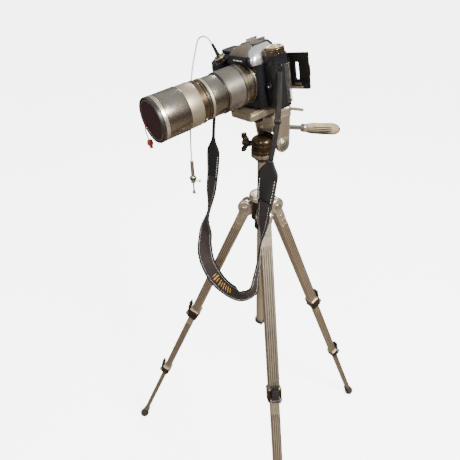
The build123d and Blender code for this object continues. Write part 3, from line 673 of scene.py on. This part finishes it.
# share of the length, then the turn of the band about its line in degrees
STRAP_TURN = [(0, 60), (0.1, 50), (0.17, 40), (0.23, 50), (0.3, 82), (0.36, 25), (0.41, -12),
              (0.46, -30), (0.53, -28), (0.58, 15), (0.62, 68), (0.7, 84), (0.76, 125),
              (0.83, 160), (0.92, 175), (1, 150)]
NARROW, WIDE = 7.5, 31.0
TAB_START, BAND_START = 0.135, 0.165
strap_frames = []
toward_eye = Vector((0.77, -0.64, 0)).normalized()
for k, spot in enumerate(strap_line):
    before, after = strap_line[max(k - 1, 0)], strap_line[min(k + 1, len(strap_line) - 1)]
    along = (after - before).normalized()
    out_way = (toward_eye - along * toward_eye.dot(along)).normalized()
    turn_by = Matrix.Rotation(math.radians(between(STRAP_TURN, travel[k] / travel[-1])), 3, along)
    out_way = turn_by @ out_way
    strap_frames.append((spot, along, out_way, along.cross(out_way)))


# %% Strap band
def ribbon_mesh(name, first, last, width_at, thick, material, lift=0.0, parts=8, side=0.0):
    """A solid ribbon along part of the strap, with rounded long edges and a UV map."""
    rings, marks = [], []
    for k, (spot, along, out_way, wide_way) in enumerate(strap_frames):
        share = travel[k] / travel[-1]
        if not first <= share <= last:
            continue
        half = width_at(share) / 2000
        ring = []
        for j, face in ([(j, 1) for j in range(parts + 1)]
                        + [(j, -1) for j in range(parts - 1, 0, -1)]):
            x = -1 + 2 * j / parts
            bulge = thick / 2000 * math.sqrt(max(0.0, 1 - abs(x) ** 6))
            ring.append(
                spot + wide_way * (half * x + side / 1000) + out_way * (lift / 1000 + face * bulge))
        rings.append(ring)
        marks.append(share)
    count = len(rings[0])
    mesh = bpy.data.meshes.new(name)
    points = [p for ring in rings for p in ring]
    faces = [tuple(range(count)), tuple(range(len(points) - count, len(points)))[::-1]]
    mesh.from_pydata(points, [], faces + quads(len(rings), count, False, flip=True))
    layer = mesh.uv_layers.new(name="UVMap")
    for loop in mesh.loops:
        r, k = divmod(loop.vertex_index, count)
        layer.data[loop.index].uv = (min(k, count - k) / parts, marks[r])
    mesh.shade_smooth()
    check = bmesh.new()
    check.from_mesh(mesh)
    bmesh.ops.recalc_face_normals(check, faces=check.faces)
    check.to_mesh(mesh)
    check.free()
    mesh.materials.append(material)
    return mesh


def strap_piece(name, meshes):
    """Several ribbons or seams of one finish, joined as one piece on the strap."""
    whole = bmesh.new()
    for mesh in meshes:
        whole.from_mesh(mesh)
    joined = bpy.data.meshes.new(name)
    whole.to_mesh(joined)
    whole.free()
    joined.materials.append(meshes[0].materials[0])
    return riding(name, joined, "camera")


def ribbon(name, *shape, **more):
    return strap_piece(name, [ribbon_mesh(name, *shape, **more)])


def band_width(share):
    edge = min(share, 1 - share)
    return between([(0, NARROW), (TAB_START, NARROW), (BAND_START, WIDE), (0.5, WIDE)], edge)


neck_band = ribbon("neck_band", 0.0, 1.0, band_width, 2.2, band_cloth)
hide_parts("neck_strap")
for tag, way in (("left", 1), ("right", -1)):
    ribbon(f"binding_{tag}", 0.18, 0.82, lambda s: 2.6, 2.8, edge_cloth,
                               parts=4, side=way * (WIDE / 2 - 1.4))
for tag, low, high in (("right", 0.137, 0.215), ("left", 0.785, 0.863)):
    ribbon(f"leather_end_{tag}", low, high, lambda s: band_width(s) + 1.6, 3.4, leather)
    ends = (0.0, 0.14) if tag == "right" else (0.86, 1.0)
    ribbon(f"webbing_{tag}", *ends, lambda s: NARROW + 0.6, 2.6, edge_cloth)
    place = (0.07, 0.078) if tag == "right" else (0.922, 0.93)
    ribbon(f"slider_{tag}", *place, lambda s: 10.5, 4.2, black_plastic)


def strap_seam(low, high, side, lift):
    """The points of one seam, as a mesh of edges for the stitch tree."""
    spots = [spot + wide_way * side / 1000 + out_way * lift / 1000
             for k, (spot, along, out_way, wide_way) in enumerate(strap_frames)
             if low <= travel[k] / travel[-1] <= high]
    mesh = bpy.data.meshes.new("seam")
    mesh.from_pydata(spots, [(k, k + 1) for k in range(len(spots) - 1)], [])
    return mesh


for tag, low, high in (("band", 0.22, 0.78), ("right", 0.172, 0.212), ("left", 0.788, 0.828)):
    reach, lift = (WIDE / 2 - 4.2, 1.1) if tag == "band" else (WIDE / 2 - 3.2, 1.75)
    runs = [grown_mesh("seam", stitch_line, WORLD,
                       start=strap_seam(low, high, side * reach, face * lift),
                       Pitch=mm(4.2), Stitch=mm(2.6, 0.5, 0.4), Material=thread)
            for side in (-1, 1) for face in (-1, 1)]
    strap_piece(f"stitches_{tag}", runs)
# a plain row of slanted bars stands where the maker's word would be
bars = []
for k in range(9):
    low = 0.452 + k * 0.0078
    tall = 15.0 if k % 2 else 11.0
    for face in (1, -1):
        bars.append(ribbon_mesh("bar", low, low + 0.0046, lambda s, t=tall: t, 0.6, amber_thread,
                                lift=face * 1.15, parts=4))
strap_piece("embroidered_bars", bars)

# %% [markdown]
# ## Camera cover
# The prism housing is a soft dome, silver on its flanks and dark along the top. A loft through
# rounded outlines gives the bulge that flat solids can't.

# %% Prism dome
DOME = [(66.2, 31.5, -34.6, 15.4, 8), (70, 31.5, -35.0, 15.5, 9), (74, 31, -35.0, 15.6, 10),
        (78, 29.4, -34.2, 15.5, 11), (82, 26.4, -31, 15.2, 12), (85.5, 22.6, -26.5, 14.8, 12),
        (88.4, 17.6, -20, 14, 11), (90.2, 11.5, -13, 12, 8), (90.7, 8, -9, 10, 6)]
dome_rings = [[(px, py, z) for px, py in outline((-half, half), (front, back), radius, 10)]
              for z, half, front, back, radius in DOME]
prism_dome = lofted("prism_dome", dome_rings, CAMERA, "camera", silver_cover)
prism_dome.data.materials.append(taupe_cover)
prism_dome.data.materials.append(black_shell)
upright = CAMERA.inverted()
for face in prism_dome.data.polygons:
    spot = upright @ face.center * 1000
    if spot.y < -31 and spot.z < 79 and abs(spot.x) < 27:
        face.material_index = 2
    elif abs(spot.x) < 13.5 + (90.7 - spot.z) * 0.75 and spot.z > 77:
        face.material_index = 1
prism_dome.data.shade_smooth()
turned("prism_screw", [(0, 0.01), (0, 2.0), (0.7, 1.7), (0.9, 0.01)],
       CAMERA @ shift(27.5, -27.5, 73) @ spin(50, "Z") @ spin(90, "Y"), "camera", steel, 24)
slab("name_plate", (-17, 17), (-0.5, 0.5), (-4, 4), 0.4, CAMERA @ shift(0, -35.2, 72.5), "camera",
     black_plastic, 0.3)
for k in range(3):
    slab(f"plain_bar_{k}", (-11 + k * 8, -5 + k * 8), (-0.3, 0.3), (-0.9, 0.9), 0.2,
         CAMERA @ shift(0, -35.8, 72.5), "camera", white_mark, 0.15)

# %% Dial, button and deck details
turned(
    "dial_top", [(0, 0.01), (0, 12.6), (0.9, 12.6), (1.1, 11.8), (0.5, 9.5), (0.5, 5), (1.3, 4.4),
    (1.5, 0.01)], CAMERA @ shift(41, 0, 84.9), "mode_dial", gold_top, 64)
teeth("dial_marks", CAMERA @ shift(41, 0, 85.7), "mode_dial", "black", 12, 10.8, (1.6, 0.5, 0.35),
      seam_black)
teeth("dial_knurl", CAMERA @ shift(41, 0, 78.2), "mode_dial", "silver", 72, 14.45, (0.7, 0.55, 5.4),
      bronze_gold)
turned("release_collar_trim", band(3.3, 4.2, 6.6, 8.8), BUTTON, "power_collar", gold_top, 64)
teeth("power_collar_knurl", BUTTON @ shift(0, 0, 1.8), "power_collar", "black", 40, 8.95,
      (0.6, 0.7, 2.4), bronze)
slab("deck_window", (-28, -14), (-7, 7), (76, 77.2), 1.5, CAMERA @ shift(-26, 2, 0), "camera",
     gold_top, 0.4)

# %% [markdown]
# ## Leatherette, studs and small camera parts
# The grip and the end of the body are covered in pebbled sheet, which is a thin wall that goes
# round the corner. The rubbed strip beside the back door is a field of raised studs.

# %% Body coverings
def corner(cx, cy, radius, start, end, steps=9):
    return [(cx + radius * math.cos(math.radians(start + (end - start) * k / steps)),
             cy + radius * math.sin(math.radians(start + (end - start) * k / steps)))
            for k in range(steps + 1)]


left_end = [(34.0, -14.0), (40.0, -14.0)] + corner(46, -6, 8, -90, 0) + [(54, 3.0)]
wall("end_cover", left_end, (3, 63), 0.8, CAMERA, "camera", leatherette)
grip_path = ([(-76.0, 6.0), (-76.0, -12.0), (-76.0, -28.0)] + corner(-66.5, -28.5, 9.5, 180, 270)
             + corner(-56.5, -28.5, 9.5, 270, 360) + [(-47.0, -18.0)])
wall("grip_cover", grip_path, (3, 57), 0.8, CAMERA, "camera", leatherette)
blocks("side_studs", CAMERA @ shift(54.2, 4.6, 6), "camera", "steel", 4, (0, 2.6, 0), (1.4, 1.5, 1.5),
       steel, rows=21, row_step=(0, 0, 2.7))
turned("index_dot", [(0, 0.01), (0, 1.3), (0.5, 1.1), (0.6, 0.01)],
       CAMERA @ shift(41, -18, 34) @ spin(90, "X"), "lens_release", white_mark, 24)
arc = corner(0, 39, 40, -60, 8, 24)
lofted(
    "front_moulding", [[(x - 0.5, -15.2, z), (x + 0.5, -15.2, z), (x + 0.5, -13.9, z),
    (x - 0.5, -13.9, z)] for x, z in arc if x < 52], CAMERA, "camera", black_plastic)
turned("finder_cup", band(0, 3.0, 6.0, 9.6), CAMERA @ shift(0, 20.2, 76.5) @ spin(-90, "X"),
       "camera", rubber, 48)
for x, z in ((-70, 72), (49, 61), (-72, 5), (50, 5)):
    turned(
        f"body_screw_{x + 80}_{z}", [(0, 0.01), (0, 1.3), (0.35, 1.1), (0.35, 0.4), (0.15, 0.01)],
        CAMERA @ shift(x, 14.9 if z > 60 else 15.0, z) @ spin(-90, "X"), "camera", steel, 20)
blocks("shutter_blades", CAMERA @ shift(0, 8.3, 29.5), "camera", "black", 5, (0, 0.0, 4.8),
       (36, 0.4, 5.2), seam_black)

# %% Back door details
DOOR = CAMERA @ turned_about((-76, 18, 0), 20, "Z")
lip = []
for z, grow in ((19.0, 1.6), (19.9, 1.3), (19.9, 0.1), (19.0, 0.0)):
    lip.append(
        [(x, z, y) for x, y in outline((28.0 - grow, 34.5 + grow),
        (21.0 - grow, 47.0 + grow), 1.2 + grow)])
ring_loft("door_slot_lip", lip, DOOR, "film_door", black_plastic)
slab("door_pad", (-66, 23), (18.9, 19.8), (10, 57), 0.4, DOOR, "film_door", leatherette, 0.3)
slab("door_foot_strip", (14, 40), (14.2, 15.5), (7.0, 10.5), 0.4, DOOR, "film_door", cream,
     0.3)
slab("door_label_plate", (26, 37), (14.9, 15.4), (12, 16), 0.2, DOOR, "film_door", taupe_cover,
     0.1)

# %% [markdown]
# ## Lens
# The barrel reads as bands: dark seams, one coarse ring, smooth metal between. The bands are
# turned profiles, and the grips are teeth in rings round the lens axis.

# %% Lens rings
def lens_band(name, low, high, inner, outer, body, material):
    return turned(name, band(low, high, inner, outer), LENS, body, material)


lens_band("mount_flange", 0.2, 3.6, 24.2, 30.4, "camera", lens_metal)
lens_band("mount_flange_step", 3.4, 4.5, 24.2, 29.4, "camera", seam_black)
teeth("aperture_teeth", LENS @ shift(0, 0, 8.6), "aperture_ring", "lens_metal", 60, 28.4,
      (1.0, 1.5, 5.0), bronze_gold)
lens_band("rear_seam", 12.7, 13.1, 24.2, 28.9, "camera", seam_black)
lens_band("zoom_step_one", 13.3, 15.6, 29.4, 30.5, "zoom_ring", bronze_gold)
lens_band("zoom_step_two", 15.6, 19.4, 29.4, 30.0, "zoom_ring", lens_metal)
lens_band("zoom_rear_seam", 19.4, 21.4, 29.4, 29.75, "zoom_ring", seam_black)
teeth("zoom_knurl", LENS @ shift(0, 0, 23.0), "zoom_ring", "ring_rubber", 110, 29.5, (0.9, 1.05, 1.5),
      lens_grey, rows=12, row_step=2.15)
lens_band("zoom_front_lip", 48.6, 51.2, 29.4, 30.4, "zoom_ring", lens_metal)
lens_band("front_seam", 51.5, 54.0, 26.5, 28.8, "camera", seam_black)
turned("smooth_barrel", [(54, 26.8), (54, 28.4), (55, 28.9), (73.5, 28.9), (74, 28.4), (74, 26.8)],
       LENS, "camera", lens_metal)
lens_band("barrel_seam", 74.0, 75.2, 26.6, 28.4, "camera", seam_black)
lens_band("pale_ring", 75.2, 79.6, 26.6, 29.9, "camera", hood_matte)
lens_band("groove_rear", 79.6, 82.2, 25.8, 28.2, "camera", seam_black)
lens_band("groove_rib", 82.2, 84.2, 25.8, 29.3, "camera", bronze_gold)
lens_band("groove_front", 84.2, 86.4, 25.8, 28.4, "camera", seam_black)
lens_band("lug_collar", 86.4, 94.5, 25.8, 30.3, "camera", bronze_gold)
turned(
    "housing_skin", [(94.5, 29.6), (94.5, 30.4), (95.4, 30.9), (115.6, 30.9), (115.9, 30.4),
    (115.9, 29.6)], LENS, "camera", hood_matte)
hood_skin = turned(
    "hood_skin", [(116.0, 30.3), (116.0, 31.2), (116.8, 31.6), (150.6, 31.6), (150.6, 30.3)], LENS,
    "lens_hood", lens_metal)
lens_band("hood_inner", 150.6, 156.8, 30.3, 31.3, "lens_hood", seam_black)
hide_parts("lens_hood")
turned("hood_front_rim", [(151, 31.2), (151.4, 31.7), (155.6, 31.9), (156.9, 31.6), (157, 31.2)],
       LENS, "lens_hood", cream)
for turn_at in (-62, -42, 118):
    turned(
        f"lug_{turn_at + 62}", [(0, 0.01), (0, 1.7), (0.7, 1.4), (0.9, 0.01)],
        LENS @ spin(turn_at, "Z") @ shift(30.2, 0, 90.6) @ spin(90, "Y"), "camera", steel, 24)

# %% Lens cap
turned(
    "cap_rim", [(157.5, 31.2), (157.5, 31.8), (161.6, 31.9), (163.0, 31.2), (163.0, 29.6),
    (161.6, 29.2), (161.4, 29.2), (161.4, 31.2)], LENS, "lens_cap", seam_black)
turned("cap_inlay_ring", band(161.5, 162.1, 27.4, 28.3), LENS, "lens_cap", cream)
turned("cap_face", [(161.5, 0.01), (161.5, 27.2), (161.9, 27.0), (162.0, 20), (161.8, 0.01)], LENS,
       "lens_cap", maroon)
teeth(
    "cap_grip", LENS @ shift(0, 0, 159.6), "lens_cap", "black", 90, 31.75, (0.5, 0.9, 2.6), seam_black)

# %% Cap leash
def on_lens(x, y, z):
    return LENS @ (Vector((x, y, z)) / 1000) * 1000


leash = route_curve("cap_leash", [on_lens(-24, -10, 163), on_lens(-26, -16, 164.5),
                                  on_lens(-27, -24, 164.2), on_lens(-27.2, -31, 163.4),
                                  on_lens(-27, -40, 163)], 0.8)
leash.data.materials.append(red_bead)
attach(leash, "lens_cap")
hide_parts("cap_tassel")
bead = turned(
    "leash_bead", [(-4.6, 0.9), (-4.2, 3.2), (-2, 4.4), (2, 4.4), (4.2, 3.2), (4.6, 0.9)],
    LENS @ shift(-27, -38, 163) @ spin(90, "X"), "lens_cap", red_bead, 32)
knot = turned(
    "leash_knot", [(-2.4, 0.5), (-1.6, 2.4), (1.6, 2.6), (2.4, 0.5)],
    LENS @ shift(-27, -44.6, 163) @ spin(90, "X"), "lens_cap", red_bead, 24)

# %% [markdown]
# ## Tripod
# The leg sections are drawn channels with raised ribs along their faces. The ribs are one block
# repeated across each face. Rivets, bands and ringed feet finish each leg.

# %% Leg ribs and fittings
for leg, place in LEGS.items():
    for tag, low, high, x, count, step, wide, pitch in (
            ("upper", 52, 316, 8.5, 5, 3.8, 10.5, 3.6), ("middle", 372, 570, 7.0, 4, 3.6, 8.7, 3.2),
            ("lower", 612, 842, 5.2, 3, 3.4, 6.9, 2.6)):
        blocks(f"{leg}_{tag}_ribs", place @ shift(x, -(count - 1) * step / 2, -(low + high) / 2),
               f"{leg}_{tag}", "tube", count, (0, step, 0), (0.5, 2.0, high - low), champagne)
        # The dark strips between the ribs, on the front face and on both sides, are painted groove
        # shade, not a colour of the tube.
        blocks(f"{leg}_{tag}_grooves", place @ shift(x, -count * step / 2, -(low + high) / 2),
               f"{leg}_{tag}", "tube", count + 1, (0, step, 0), (0.24, 1.1, high - low), groove_shade_paint)
        for side in (-1, 1):
            end = "a" if side < 0 else "b"
            blocks(
                f"{leg}_{tag}_side_ribs_{end}", place @ shift(-pitch, side * wide, -(low + high) / 2),
                f"{leg}_{tag}", "tube", 3, (pitch, 0, 0), (1.5, 0.5, high - low), champagne)
            blocks(f"{leg}_{tag}_side_grooves_{end}",
                   place @ shift(-pitch * 1.5, side * wide, -(low + high) / 2), f"{leg}_{tag}", "tube",
                   4, (pitch, 0, 0), (1.0, 0.24, high - low), groove_shade_paint)
    for tag, lever, depth, width, low, high in (("upper", "upper", 11.1, 12.9, 321, 346),
                                                ("middle", "lower", 9.6, 11.1, 584, 606)):
        sleeve = []
        for grow, level in ((-0.2, low), (0.35, low + 0.5), (0.35, high - 0.5), (-0.2, high)):
            sleeve.append([(px, py, -level) for px, py in outline(
                (-depth - grow, depth + grow), (-width - grow, width + grow), 3.2)])
        ring_loft(f"{leg}_{tag}_collar_sleeve", sleeve, place, f"{leg}_{tag}", bronze)
        for k, level in enumerate((low + 1.0, high - 4.2)):
            rings = []
            for inset, z in ((0.3, level), (0, level + 0.5), (0, level + 2.3), (0.3, level + 2.8)):
                rings.append([(px, py, -z) for px, py in outline(
                    (-depth - 0.7 + inset, depth + 0.7 - inset),
                    (-width - 0.7 + inset, width + 0.7 - inset), 3.4)])
            lofted(
                f"{leg}_{tag}_collar_band_{k}", rings, place, f"{leg}_{tag}", black_plastic)
        blocks(f"{leg}_{tag}_lever_ribs", place @ shift(depth + 5.9, 0, -high + 17.5),
               f"{leg}_{lever}_lever", "casting", 5, (0.2, 0, 2.2), (1.6, 11.5, 1.0), black_plastic)
    for side in (-1, 1):
        turned(f"{leg}_pin_cap_{'a' if side < 0 else 'b'}",
               [(0, 0.01), (0, 5.6), (0.8, 5.6), (1.6, 4.4), (1.6, 1.6), (1.1, 0.01)],
               spin(LEG_TURNS[leg], "Z") @ shift(28, side * 14.0, 814) @ spin(-90 * side, "X"),
               "tripod_crown", steel, 32)
    for k, level in enumerate((26, 40)):
        for side in (-1, 1):
            turned(
                f"{leg}_rivet_{k}_{'a' if side < 0 else 'b'}", [(0, 0.01), (0, 2.2), (0.8, 1.4),
                (1.0, 0.01)], place @ shift(0, side * 10.5, -level) @ spin(-90 * side, "X"),
                f"{leg}_upper", steel, 20)
    for k, level in enumerate((-849, -856, -863)):
        rings = [[(px, py, level + z) for px, py in outline((-7.4 - o, 7.4 + o), (-9 - o, 9 + o), 3.2)]
                 for o, z in ((-0.2, -1.6), (0.7, -0.8), (0.7, 0.8), (-0.2, 1.6))]
        lofted(f"{leg}_foot_ring_{k}", rings, place, f"{leg}_lower", rubber)

# %% Crown and column fittings
turned(
    "crown_collar", [(836, 17), (836, 22.2), (838, 22.8), (843, 22.8), (845.6, 21), (846.2, 16),
    (846.2, 8.9), (845.0, 8.9)], WORLD, "tripod_crown", cream)
teeth("column_knob_grip", spin(150, "Z") @ shift(25, 0, 828) @ spin(90, "Y"), "column_knob", "black",
      20, 8.6, (1.0, 1.0, 9.0), black_plastic)
turned("column_foot_ring", band(540, 546, 8.6, 11.2), WORLD, "column", black_plastic)

# %% [markdown]
# ## Head
# The pan housing is dark and shiny over a fluted ring, and pale castings carry the platform.
# Screws, washers and raised edges are what the hand meets, so they are separate pieces.

# %% Head fittings
teeth("base_flutes", shift(0, 0, 919.3), "column", "casting", 60, 18.9, (1.0, 1.0, 5.4), cream)
turned("pan_belt", band(925, 928, 18.6, 19.6), WORLD, "pan", bronze)
turned("pan_upper_belt", band(937, 938.6, 18.6, 19.4), WORLD, "pan", bronze)
for side in (-1, 1):
    tag = "a" if side < 0 else "b"
    turned(f"tilt_washer_{tag}", [(0, 8.8), (0, 12.4), (0.9, 12.2), (1.2, 11.2), (1.2, 8.8)],
           HEAD @ shift(side * 25, 24, 937) @ spin(90 * side, "Y"), "tilt", cream, 48)
    rings = [[(side * x, y, z) for y, z in ((14, 950), (34, 950), (40.5, 984), (9.5, 984))]
             for x in (24.8, 25.6)]
    lofted(f"strut_web_{tag}", rings, HEAD, "tilt", champagne)
turned("tilt_dial", [(0, 0.01), (0, 8.2), (0.5, 8.2), (0.9, 7.2), (0.5, 6.2), (0.5, 0.01)],
       HEAD @ shift(28.15, 24, 937) @ spin(90, "Y"), "tilt", steel, 48)
slab("tilt_slot", (-0.3, 0.3), (-6.5, 6.5), (-0.8, 0.8), 0.1,
     HEAD @ shift(28.7, 24, 937) @ spin(28, "X"), "tilt", seam_black, 0.1)
slab("platform_cork", (-23.6, 23.6), (-31.6, 25.6), (1003.9, 1007.9), 4, PLATFORM, "camera",
     rubber, 0.4)
for k, y in enumerate((-31, -26, 32, 38, 43)):
    slab(f"platform_rib_{k}", (-24, 24), (y - 1, y + 1), (1003.8, 1004.9), 0.5, PLATFORM, "camera",
         cream, 0.3)
teeth("screw_knob_grip", PLATFORM @ shift(0, -4, 988.6), "camera_screw", "black", 24, 8.0,
      (0.9, 0.9, 11.0), black_plastic)
HANDLE = HEAD @ shift(0, 40, 956) @ spin(-113, "X")
GRIP = ((62.6, 6.9, 6.4), (70, 9.3, 8.1), (76, 10.7, 9.2), (95, 11.7, 9.85), (114, 12.15, 10.15),
        (130, 11.8, 9.95), (142, 11.2, 9.65), (147.5, 9.0, 7.8))
stripe_angles = [-24 + 19 * k for k in range(13)]
for k, angle in enumerate(stripe_angles):
    rings = []
    for z, wide, tall in GRIP:
        corners = []
        for off, proud in ((-5.2, -0.8), (-4.4, 0.35), (4.4, 0.35), (5.2, -0.8)):
            a = math.radians(angle + off)
            corners.append(((wide + proud) * math.cos(a), (tall + proud) * math.sin(a), z))
        rings.append(corners)
    lofted(f"grip_stripe_{k}", rings, HANDLE, "handle", black_plastic)
turned("grip_ferrule", [(54, 4.2), (54, 6.4), (56, 7.4), (62.5, 7.6), (62.5, 4.2)], HANDLE, "handle",
       cream, 48)
turned("release_handle_ring", band(858, 861, 6.0, 6.6), shift(-105, -77, 0), "camera",
       black_plastic, 32)
turned(
    "release_lock_screw", [(4, 0.01), (4, 1.1), (10.6, 1.1), (10.6, 2.4), (13.4, 2.6), (13.8, 2.0),
    (13.8, 0.01)], shift(-105, -77, 854) @ spin(50, "Z") @ spin(90, "Y"), "camera", steel, 24)

# %% [markdown]
# ## Light and floor
# A pale sweep and large soft lights keep the pale background, with one warm key from the upper
# right so that the tubes show a bright face and a brown one.

# %% Light and floor
SWEEP_GLOW = 5.0


def soft_light(name, at, size, power, colour):
    data = bpy.data.lights.new(name, "AREA")
    data.shape = "DISK"
    data.size = size
    data.energy = power
    data.color = colour
    lamp = linked(name, data)
    lamp.location = at
    lamp.rotation_mode = "QUATERNION"
    lamp.rotation_quaternion = (Vector(at) - Vector((0, 0, 0.85))).to_track_quat("Z", "Y")


soft_light("key", (2.0, 0.1, 2.4), 0.8, 165, (1.0, 0.95, 0.88))
soft_light("glint", (1.1, -1.9, 2.2), 0.25, 22, (1.0, 0.99, 0.97))
soft_light("fill", (-0.4, -2.6, 1.5), 1.2, 14, (0.93, 0.96, 1.0))
soft_light("rear", (-1.6, 1.8, 2.2), 0.8, 34, (1.0, 0.98, 0.95))
world = bpy.data.worlds.new("studio")
bpy.context.scene.world = world
world.use_nodes = True
net = Net(world.node_tree)
sky = net.add("ShaderNodeTexCoord")
height = net.add("ShaderNodeSeparateXYZ", Vector=sky.outputs["Generated"])
fade = net.add("ShaderNodeMapRange", Value=height.outputs["Z"], n1=-0.15, n2=0.75, n3=0.0, n4=1.0)
tint = net.mixed(fade, (0.05, 0.038, 0.028, 1), (0.66, 0.67, 0.69, 1))
seen = net.add("ShaderNodeLightPath")
shown = net.mixed(seen.outputs["Is Camera Ray"], tint, (SWEEP_GLOW, SWEEP_GLOW, SWEEP_GLOW, 1))
net.feed(world.node_tree.nodes["Background"], "Color", shown)
floor_mesh = bpy.data.meshes.new("floor")
floor_mesh.from_pydata(
    [(-30, -30, -0.0005), (30, -30, -0.0005), (30, 30, -0.0005), (-30, 30, -0.0005)], [], [(0, 1, 2, 3)])
floor = linked("floor", floor_mesh)
pale = bpy.data.materials.new("pale floor")
pale.use_nodes = True
net = Net(pale.node_tree)
seen = net.add("ShaderNodeLightPath")
glow = net.maths("MULTIPLY", seen.outputs["Is Camera Ray"], SWEEP_GLOW)
bounce = net.mixed(seen.outputs["Is Camera Ray"], (0.16, 0.13, 0.1, 1), (0.93, 0.93, 0.92, 1))
pale_shader = pale.node_tree.nodes["Principled BSDF"]
net.feed(pale_shader, "Base_Color", bounce)
net.feed(pale_shader, "Emission_Strength", glow)
pale_shader.inputs["Emission Color"].default_value = (1, 1, 1, 1)
pale_shader.inputs["Roughness"].default_value = 0.8
floor_mesh.materials.append(pale)
floor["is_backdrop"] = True

# %% Sizes and finish
low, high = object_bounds()
print("visual box", [round(v, 3) for v in (*low, *high)])
